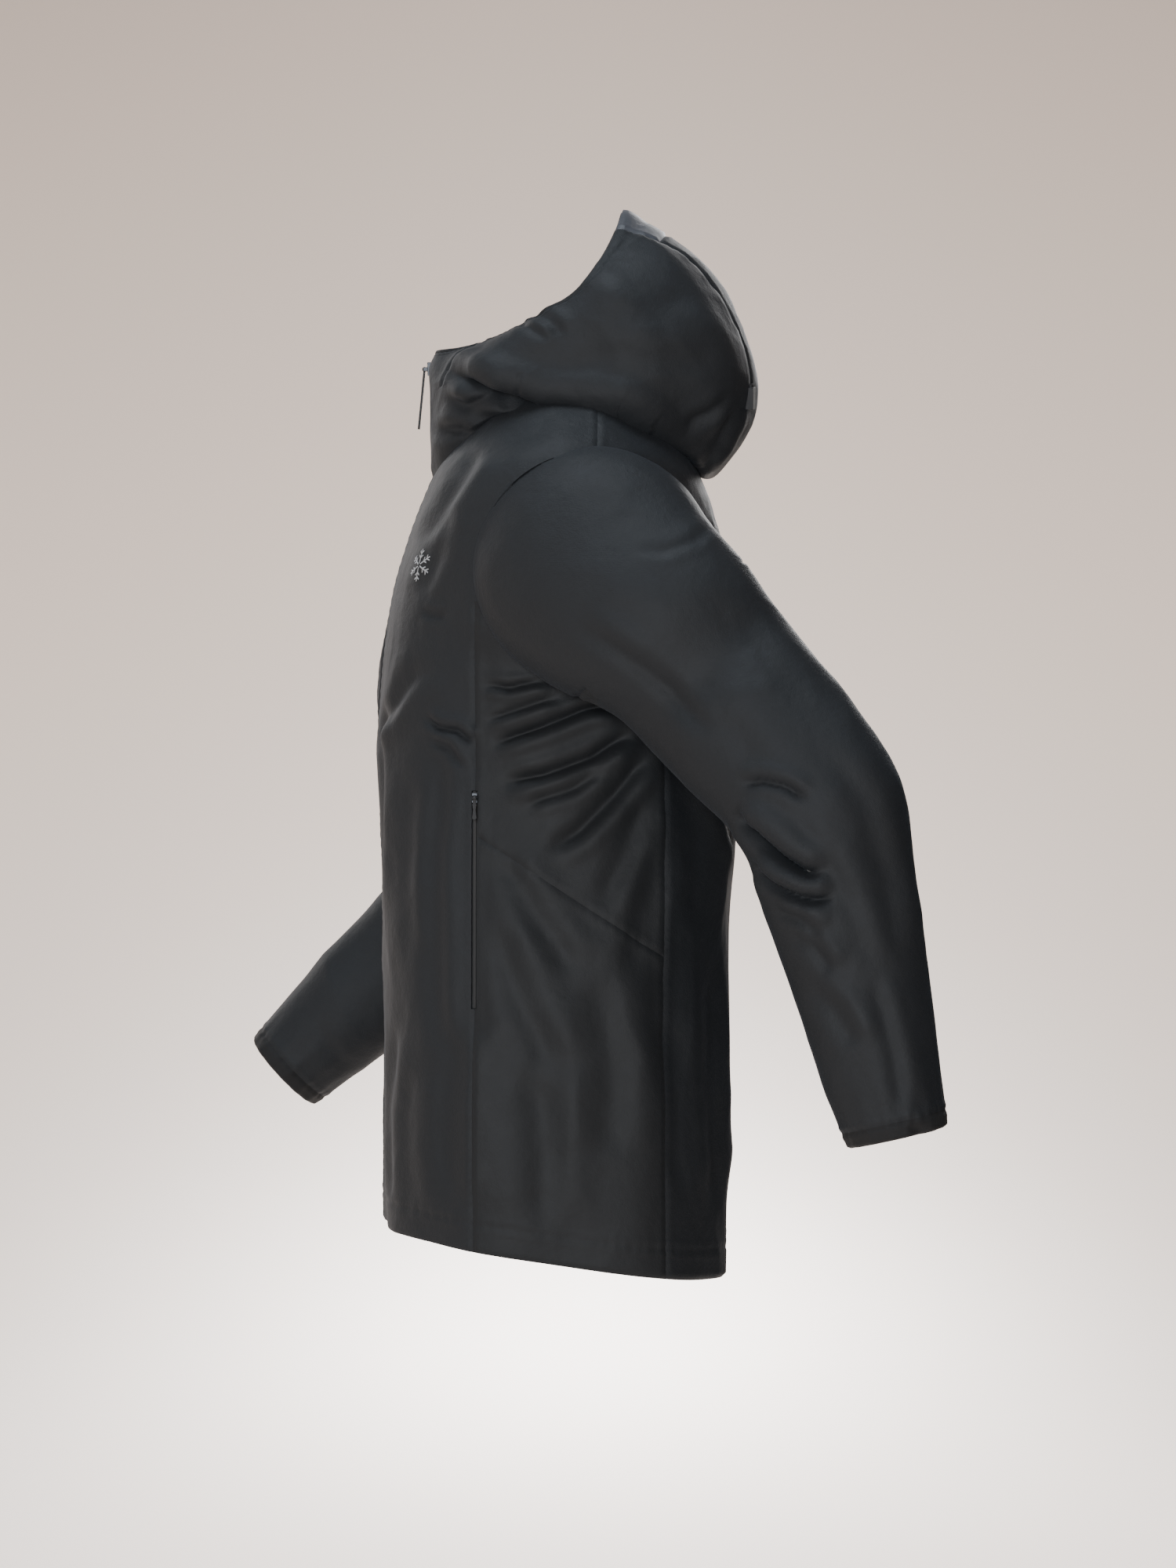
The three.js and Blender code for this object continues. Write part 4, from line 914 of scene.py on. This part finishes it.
hood, reach = hood_cloth(300, 130)
front, turn, back = NECK_FOLD
cut(hood, (0, *front), across_plane(front, turn), lambda c: c.y < turn[0])
cut(hood, (0, *turn), across_plane(turn, back), lambda c: c.y > turn[0])
for x in (-SEAM_X, SEAM_X):
    cut(hood, (x, 0, 0), (1, 0, 0), above_fold)
cut(hood, BRIM_TIP - BRIM_DIRECTION * BRIM_LENGTH, BRIM_DIRECTION,
    lambda c: abs(c.x) < SEAM_X + 1 and c.z > 60)
cut(hood, (0, COLLAR_SEAM_Y, 0), (0, 1, 0), lambda c: c.z < 50)
open_front(hood)


def hood_panel_at(c):
    side = "left" if c.x > 0 else "right"
    if c.y < COLLAR_SEAM_Y and c.z < 62 and not (above_fold(c) and c.y > -40):
        return f"collar_{side}"
    if not above_fold(c):
        return "hood_neck_panel"
    if abs(c.x) > SEAM_X or c.y < 0:
        return f"hood_side_{side}"
    return "hood_brim" if brim_depth(c) < BRIM_LENGTH else "hood_centre"


regions = panels_of(hood, hood_panel_at)
reshape(hood, reach, shape_hood)
for key, chosen in regions.items():
    brim = key == "hood_brim"
    piece = panel(hood, key + "_cloth", chosen, [key, "brim_stiffener"] if brim else [key],
                  BRIM_PAINTED_HIGHLIGHT if brim else SHELL, "brim" if brim else "shell")
    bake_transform(piece)

inner_hood, reach = hood_cloth(110, 50)
trim(inner_hood, beside_zip)
reshape(inner_hood, reach, shape_hood, LINING_DEPTH, 0.5)
hood_lining = lining_panel(inner_hood, "hood_lining_cloth", ["hood_lining", "collar_lining"])
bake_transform(hood_lining)

# ---- Sleeve cloth --------------------------------------------------------------------------

SLEEVE_FOLDS = {
    "left": [
        fold([(148, -296), (166, -292), (184, -296), (204, -308)], 4.5, 5.2, 3.6, 2.4),
        fold([(142, -316), (164, -330), (186, -350), (214, -368)], 6.5, 15.0, 8.0, 8.5),
        fold([(158, -352), (178, -371), (200, -381), (224, -383)], 5.5, 10.0, 6.0, 5.5),
        fold([(176, -392), (196, -398), (214, -412)], 5, 4.0, 3.0, 1.5),
        fold([(188, -410), (206, -420), (222, -440)], 6, 3.2, 2.6, 1.0),
        fold([(200, -450), (222, -470), (240, -500)], 8, 3.0, 2.4),
        fold([(134, -88), (118, -104), (92, -114), (64, -112)], 4.5, 1.5, 0.9),
        fold([(60, -180), (110, -222), (150, -262), (176, -300)], 12, 1.6, 1.0),
        fold([(120, -140), (168, -196), (204, -252), (226, -312)], 13, 1.5, 1.1),
        fold([(212, -262), (244, -310), (262, -370), (272, -440)], 10, 2.2, 2.2),
        fold([(182, -322), (214, -356), (238, -400), (252, -450)], 9, 2.0, 1.4),
        fold([(250, -440), (266, -500), (276, -550)], 7, 2.4, 2.0),
        fold([(276, -556), (292, -566), (304, -580)], 5, 2.6, 2.2, 1.0),
        fold([(20, -170), (56, -192), (96, -222), (130, -262)], 8, 3.6, 3.0, 1.2),
    ],
    "right": [
        fold([(-60, -330), (-34, -352), (-6, -362)], 8, 5.5, 4.2, 2.0),
        fold([(-76, -368), (-44, -392), (-14, -400)], 8, 5.0, 4.0, 2.0),
        fold([(-96, -392), (-72, -424), (-44, -440)], 7, 3.8, 3.0, 1.0),
        fold([(-96, -372), (-140, -420), (-190, -476)], 9, 1.8, 1.3),
        fold([(-128, -432), (-112, -462), (-92, -478)], 5, 2.2, 1.6, 0.6),
        fold([(-206, -500), (-194, -524), (-178, -546)], 5, 1.8, 1.4),
        fold([(-36, -190), (-20, -250), (-24, -310)], 12, 1.8, 1.2),
        fold([(48, -170), (40, -240), (12, -310)], 12, 1.8, 1.2),
        fold([(-58, -306), (-30, -318), (0, -312)], 5, 3.0, 2.2, 1.0),
        fold([(110, -86), (84, -92), (56, -106)], 5, 1.4, 0.9),
    ],
}
SPLIT_REACH = 208              # the upper and lower sleeves join this far down the arm
GUSSET_REACH = 72              # the gusset lies below this, and no further out or down than these
GUSSET_X = 214
GUSSET_END = 96
SLEEVE_COLUMNS = 150
SLEEVE_ROWS = 210


def torso_side(y, z):
    """How far out the body of the jacket is at (y, z), or None beside it."""
    hit = torso_tree.ray_cast(Vector((400, y, z)), Vector((-1, 0, 0)))
    return hit[0].x if hit[0] is not None else None


def seam_step(rings, angle):
    """The step at which a line down the sleeve comes out of the body."""
    low, high = 0.0, 3.0
    for _ in range(16):
        middle = (low + high) / 2
        p = sleeve_point(rings, middle, angle)
        edge = torso_side(p.y, p.z)
        if edge is not None and p.x < edge:
            low = middle
        else:
            high = middle
    return low


def make_sleeve(which):
    arm = ARMS[which]
    side = arm["side"]
    rings, joints = sleeve_rings(arm)
    seam = [seam_step(rings, 2 * math.pi * i / SLEEVE_COLUMNS) for i in range(SLEEVE_COLUMNS)]
    seam = [min(seam[(i + k) % SLEEVE_COLUMNS] for k in (-1, 0, 1)) for i in range(SLEEVE_COLUMNS)]

    def start_step(u):
        at = (u % 1.0) * SLEEVE_COLUMNS
        i = int(at)
        a, b = seam[i % SLEEVE_COLUMNS], seam[(i + 1) % SLEEVE_COLUMNS]
        return a + (b - a) * (at - i)

    def sleeve_place(u, v):
        first = start_step(u) - 0.03
        return sleeve_point(rings, first + (len(rings) - 1 - first) * v, 2 * math.pi * u)

    def cloth(columns, rows):
        bm, reach = lay_cloth(columns, rows, sleeve_place, *SLEEVE_CLOTH)
        bmesh.ops.remove_doubles(bm, verts=bm.verts, dist=0.01)
        bmesh.ops.recalc_face_normals(bm, faces=bm.faces)
        bm.normal_update()
        test = max(bm.faces, key=lambda f: f.calc_center_median().x)
        if test.normal.x < 0:
            bmesh.ops.reverse_faces(bm, faces=bm.faces)
        return bm, reach

    shoulder = Vector(ARMHOLE)
    split_point = shoulder + joints["upper"] * SPLIT_REACH
    cuff_point = joints["wrist"] - joints["fore"] * CUFF_LENGTH
    folds = SLEEVE_FOLDS[which]

    def shape(points, normals, reach, depth=0.0, quiet=1.0):
        moved = press_folds(points, normals, folds)
        inner = [dict(f, face="right", width=f["width"] * 1.3, depth=f["depth"] * 0.55,
                      lip=f["lip"] * 0.5) for f in folds]
        moved = press_folds(moved, normals, inner)
        moved = rumple(moved, normals, 85, 1.5, (1, 1, 0.6), 1.7)
        moved = rumple(moved, normals, 28, 0.3, (1, 1, 0.8), 6.4)
        wrist = (points - np.array(joints["wrist"])) @ np.array(joints["fore"])
        around = points - np.array(joints["wrist"]) - wrist[:, None] * np.array(joints["fore"])
        turn = np.arctan2(around[:, 0], around @ np.array(joints["fore"].cross(SIDEWAYS)))
        gathers = np.sin(turn * 14) * 0.4 * smooth(-62, -14, wrist)
        moved += normals * gathers[:, None]
        calm = smooth(0, 0.05, reach) * quiet
        moved = points + (moved - points) * calm[:, None]
        if depth == 0:
            moved = sew(moved, normals, reach * SLEEVE_CLOTH[1], points[:, 1] + points[:, 2],
                        1.6, 2.6)
            gusset = np.abs((points - np.array(shoulder)) @ np.array(joints["down"]) - GUSSET_REACH)
            near = (points - np.array(shoulder)) @ np.array(joints["upper"]) < GUSSET_END
            moved = sew(moved, normals, np.where(near & (points[:, 0] < GUSSET_X), gusset, FAR),
                        points[:, 1], 1.4)
            moved = sew(moved, normals, np.abs(wrist + CUFF_LENGTH), turn * 38, 0.6)
            moved = roll_edge(moved, normals, -wrist, 3.0)
        return moved - normals * depth

    def mirror(bm):
        if side < 0:
            bmesh.ops.scale(bm, vec=(-1, 1, 1), verts=bm.verts)
            bmesh.ops.reverse_faces(bm, faces=bm.faces)

    to_metres = MM * Vector((side, 1, 1))
    upper_bend = dict(start=to_metres * (shoulder + joints["upper"] * 75),
                      end=to_metres * (shoulder + joints["upper"] * 200))
    middle = (joints["upper"] + joints["fore"]).normalized()
    lower_bend = dict(start=to_metres * (joints["elbow"] - middle * 58),
                      end=to_metres * (joints["elbow"] + middle * 58))

    def near_cuff(c):
        return (c - cuff_point).length < 90

    def sleeve_panel_at(c):
        if near_cuff(c) and (c - cuff_point).dot(joints["fore"]) > 0:
            return "cuff_binding"
        if (c - split_point).dot(joints["upper"]) > 0:
            return "sleeve_lower"
        low = (c - shoulder).dot(joints["down"]) > GUSSET_REACH
        inside = c.x < GUSSET_X and (c - shoulder).dot(joints["upper"]) < GUSSET_END
        return "underarm_gusset" if low and inside else "sleeve_upper"

    bm, reach = cloth(SLEEVE_COLUMNS, SLEEVE_ROWS)
    cut(bm, split_point, joints["upper"])
    cut(bm, shoulder + joints["down"] * GUSSET_REACH, joints["down"],
        lambda c: (c - shoulder).dot(joints["upper"]) < GUSSET_END + 4 and c.x < GUSSET_X)
    cut(bm, cuff_point, joints["fore"], near_cuff)
    regions = panels_of(bm, sleeve_panel_at)
    reshape(bm, reach, shape)
    mirror(bm)
    for key, chosen in regions.items():
        nodes = [f"{key}_{which}"] + ([f"sleeve_cap_{which}"] if key == "sleeve_upper" else [])
        finish, slot = {"cuff_binding": (BINDING, "binding"),
                        "underarm_gusset": (SIDE_SHELL, "shell")}.get(key, (SHELL, "shell"))
        piece = panel(bm, f"{key}_{which}_cloth", chosen, nodes, finish, slot)
        if key == "cuff_binding":
            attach(piece, f"{which}_forearm")
        elif key == "sleeve_lower":
            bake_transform(piece)
        else:
            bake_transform(piece)

    bm, reach = cloth(60, 90)
    cut(bm, split_point, joints["upper"])
    regions = panels_of(bm, lambda c: "upper" if (c - split_point).dot(joints["upper"]) < 0
                        else "lower")
    reshape(bm, reach, shape, LINING_DEPTH, 0.6)
    mirror(bm)
    piece = panel(bm, f"sleeve_upper_lining_{which}_cloth", regions["upper"],
                  [f"sleeve_upper_lining_{which}", f"sleeve_cap_lining_{which}"], LINING, "lining")
    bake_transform(piece)
    piece = panel(bm, f"sleeve_lower_lining_{which}_cloth", regions["lower"],
                  [f"sleeve_lower_lining_{which}"], LINING, "lining")
    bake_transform(piece)


for which in ARMS:
    make_sleeve(which)

# ---- CAD pieces kept, with their finishes -----------------------------------------------------

KEPT = {
    "pocket_zip_left": TAPE, "pocket_zip_right": TAPE, "pocket_bag_left": LINING,
    "pocket_bag_right": LINING, "zip_tape_left": TAPE, "zip_tape_right": TAPE,
    "wind_flap": LINING, "chin_guard": LINING, "care_label": BINDING,
}
for node, material in KEPT.items():
    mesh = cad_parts[node].data
    mesh.materials.clear()
    mesh.materials.append(material)

# ---- Zip teeth and small fittings ------------------------------------------------------------

TEETH_PITCH = 2.2
TOOTH_BODY = (2.2, 1.4, 1.15, 1)
TOOTH_HOOK = (1.5, 1.7, 0.85, 1)


def front_line():
    """Points down the middle of the front, from the hem to the top of the zip."""
    line = [torso_point(FRONT_TURN, HEM_Z + (NECK_Z - HEM_Z) * i / 300) for i in range(300)]
    line += [hood_point(FRONT_TURN, 0.004 + 0.9 * i / 80) for i in range(80)]
    return [Vector(p) for p in line]


def zip_teeth(side, which):
    """One row of moulded teeth; the two rows stand half a pitch apart."""
    low, high = (Vector(c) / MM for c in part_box(f"zip_coil_{which}"))
    bm = bmesh.new()
    line = front_line()
    run = 0 if side > 0 else TEETH_PITCH / 2
    for a, b in zip(line, line[1:]):
        length = (b - a).length
        up = (b - a).normalized()
        out = Vector((0, up.z, -up.y)) * -1
        while run < length:
            p = a + up * run
            run += TEETH_PITCH
            if not low.z + 1 < p.z < high.z - 1:
                continue
            turn = Matrix((SIDEWAYS, -out, up)).transposed().to_4x4()
            body = Matrix.Translation(p - out * 2.4 + SIDEWAYS * side * 1.5)
            hook = Matrix.Translation(p - out * 2.1 + SIDEWAYS * side * 0.35)
            for place, size in ((body, TOOTH_BODY), (hook, TOOTH_HOOK)):
                bmesh.ops.create_cube(bm, size=1, matrix=place @ turn @ Matrix.Diagonal(size))
        run -= length
    teeth = finish_piece(bm, f"zip_teeth_{which}", [f"zip_coil_{which}"], COIL)
    for face in teeth.data.polygons:
        face.use_smooth = False
    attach(teeth, "body_of_jacket")


zip_teeth(1, "left")
zip_teeth(-1, "right")


FACET_ANGLE = math.radians(3)   # flatter edges than this are only facets of one face
SHARP_ANGLE = math.radians(38)  # edges sharper than this are rounded over


def eased(node, body, material, width):
    """A fitting with its sharp edges rounded over, as moulded or cast pieces have."""
    bm = bmesh.new()
    bm.from_mesh(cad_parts[node].data)
    bmesh.ops.remove_doubles(bm, verts=bm.verts, dist=2e-6)
    bmesh.ops.dissolve_limit(bm, angle_limit=FACET_ANGLE, verts=bm.verts, edges=bm.edges,
                             delimit=set())
    sharp = [e for e in bm.edges if e.is_manifold and e.calc_face_angle(0) > SHARP_ANGLE]
    bmesh.ops.bevel(bm, geom=sharp, offset=width * MM, offset_type="OFFSET", affect="EDGES",
                    segments=2, profile=0.5, material=-1, clamp_overlap=True)
    bmesh.ops.scale(bm, vec=(1 / MM,) * 3, verts=bm.verts)
    piece = finish_piece(bm, node + "_eased", [node], material)
    soft = piece.modifiers.new("soft", "WEIGHTED_NORMAL")
    soft.keep_sharp = True
    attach(piece, body)


for node, body, material, slot, width in (
        ("zip_retainer_box", "body_of_jacket", METAL, "metal", 0.25),
        ("zip_slider", "front_slider", METAL, "metal", 0.35),
        ("zip_pull", "front_pull", RUBBER, "rubber", 0.35),
        ("pocket_slider_left", "pocket_slider_left", METAL, "metal", 0.25),
        ("pocket_slider_right", "pocket_slider_right", METAL, "metal", 0.25),
        ("pocket_pull_left", "pocket_pull_left", RUBBER, "rubber", 0.3),
        ("pocket_pull_right", "pocket_pull_right", RUBBER, "rubber", 0.3),
        ("hood_cord_lock", "hood", RUBBER, "rubber", 0.8),
        ("hood_cord_lock_button", "hood_button", RUBBER, "rubber", 0.5),
        ("hang_loop", "body_of_jacket", BINDING, "tape", 0.5)):
    eased(node, body, material, width)

# ---- Studio --------------------------------------------------------------------------------


FLOOR_Z = -1.45
# the room's wall as radius and height, turned round the middle
ROOM = ((0.0, FLOOR_Z), (3.5, FLOOR_Z), (6.0, -1.4), (8.5, -1.0), (10.5, 0.2), (11.5, 2.5),
        (11.8, 6.0), (11.8, 9.0))
WALL_SHADE_HEIGHT = 4.2             # painted shade: the room's glow darkens over this height above the floor
WALL_SHADE_STOPS = ((0.0, (0.180, 0.155, 0.138, 1)), (0.34, (0.143, 0.117, 0.099, 1)),
         (1.0, (0.050, 0.038, 0.030, 1)))
POOL_X, POOL_Y = -5.6, 0.05    # a pool of light lies on the floor beyond the jacket
POOL_LENGTH, POOL_WIDTH = 3.0, 1.1
POOL_FALL = -2.4
POOL_LIGHT = (1.0, 0.92, 0.87, 1)


def stage_piece(name, bm, finish):
    """A piece of the room, which is no part of the jacket."""
    mesh = bpy.data.meshes.new(name)
    bm.to_mesh(mesh)
    bm.free()
    mesh.materials.append(finish.material)
    piece = bpy.data.objects.new(name, mesh)
    bpy.context.scene.collection.objects.link(piece)
    return piece


def studio():
    """A pale bowl-shaped room, so that the view is plain from every side."""
    bm = bmesh.new()
    verts = [bm.verts.new((r, 0, z)) for r, z in ROOM]
    edges = [bm.edges.new(pair) for pair in zip(verts, verts[1:])]
    bmesh.ops.spin(bm, geom=[*verts, *edges], axis=(0, 0, 1), cent=(0, 0, 0), steps=96,
                   angle=2 * math.pi, use_merge=True)
    bmesh.ops.remove_doubles(bm, verts=bm.verts, dist=1e-5)
    bmesh.ops.recalc_face_normals(bm, faces=bm.faces)
    for face in bm.faces:
        face.smooth = True
    finish = Finish("studio paint", Roughness=0.95, Specular_IOR_Level=0.05,
                    Emission_Strength=6.0, Base_Color=(0.36, 0.33, 0.31, 1))
    x, y, z = finish.parts(finish.where())
    # painted light and shade: the room glows, darker upward from the floor, with a painted pool of
    # light beyond the jacket
    painted_wall_shade = finish.node("ShaderNodeValToRGB", dict(stops=WALL_SHADE_STOPS),
                        {"Fac": (z - FLOOR_Z) * (1 / WALL_SHADE_HEIGHT)})
    along, across = (x - POOL_X) * (1 / POOL_LENGTH), (y - POOL_Y) * (1 / POOL_WIDTH)
    pool = (along * along + across * across + 1.0) ** POOL_FALL
    finish.feed("Emission Color", finish.mix(pool, painted_wall_shade, POOL_LIGHT))
    soft = stage_piece("studio", bm, finish).modifiers.new("soft", "SUBSURF")
    soft.levels = soft.render_levels = 2


studio()


CARD_PLACE = (-0.55, 0.8, -0.45)
CARD_SIZE = (2.0, 1.3, 1, 1)


def dark_card():
    """A black card beside the back keeps the room's light off it; it isn't seen itself."""
    bm = bmesh.new()
    bmesh.ops.create_grid(bm, x_segments=1, y_segments=1, size=0.5)
    place = Matrix.Translation(CARD_PLACE) @ Matrix.Rotation(math.pi / 2, 4, "X")
    bmesh.ops.transform(bm, matrix=place @ Matrix.Diagonal(CARD_SIZE), verts=bm.verts)
    black = Finish("black card", Base_Color=(0.004, 0.004, 0.004, 1), Roughness=1.0,
                   Specular_IOR_Level=0.0)
    stage_piece("dark_card", bm, black).visible_camera = False


dark_card()


CENTRE = (0, 0.03, -0.3)


def softbox(name, place, size, power, color=(1, 1, 1)):
    light = bpy.data.lights.new(name, "AREA")
    light.shape = "RECTANGLE"
    light.size, light.size_y = size
    light.energy = power
    light.color = color
    lamp = bpy.data.objects.new(name, light)
    aim = (Vector(CENTRE) - Vector(place)).to_track_quat("-Z", "Y").to_matrix().to_4x4()
    lamp.matrix_world = Matrix.Translation(place) @ aim
    bpy.context.scene.collection.objects.link(lamp)


softbox("overhead", (0.5, -0.35, 2.7), (1.6, 1.6), 112, (0.84, 0.92, 1.0))
softbox("key", (4.2, -0.55, 0.1), (1.4, 1.8), 190, (0.90, 0.95, 1.0))
softbox("front", (0.2, -4.3, 0.9), (1.4, 1.8), 30)
softbox("far key", (-3.2, -2.4, 1.4), (1.6, 2.0), 46)
softbox("far fill", (-3.8, 1.3, 1.2), (1.2, 2.0), 105)

ROOM_LIGHT = 0.18
world = bpy.data.worlds.new("room light")
world.use_nodes = True
world.node_tree.nodes["Background"].inputs[0].default_value = (0.80, 0.82, 0.85, 1)
world.node_tree.nodes["Background"].inputs[1].default_value = ROOM_LIGHT
bpy.context.scene.world = world

SENSOR = 36
DISTANCE = 4.0                 # from the camera to the middle of the jacket
SPAN = 1.3                     # what the longer side of the frame takes in there
camera = bpy.data.cameras.new("camera")
camera.sensor_width = SENSOR
camera.lens = SENSOR * DISTANCE / SPAN
view = bpy.data.objects.new("camera", camera)
view.matrix_world = (Matrix.Translation((DISTANCE, 0.0325, -0.29575))
                     @ Vector((-1, 0, 0)).to_track_quat("-Z", "Y").to_matrix().to_4x4())
bpy.context.scene.collection.objects.link(view)
bpy.context.scene.camera = view
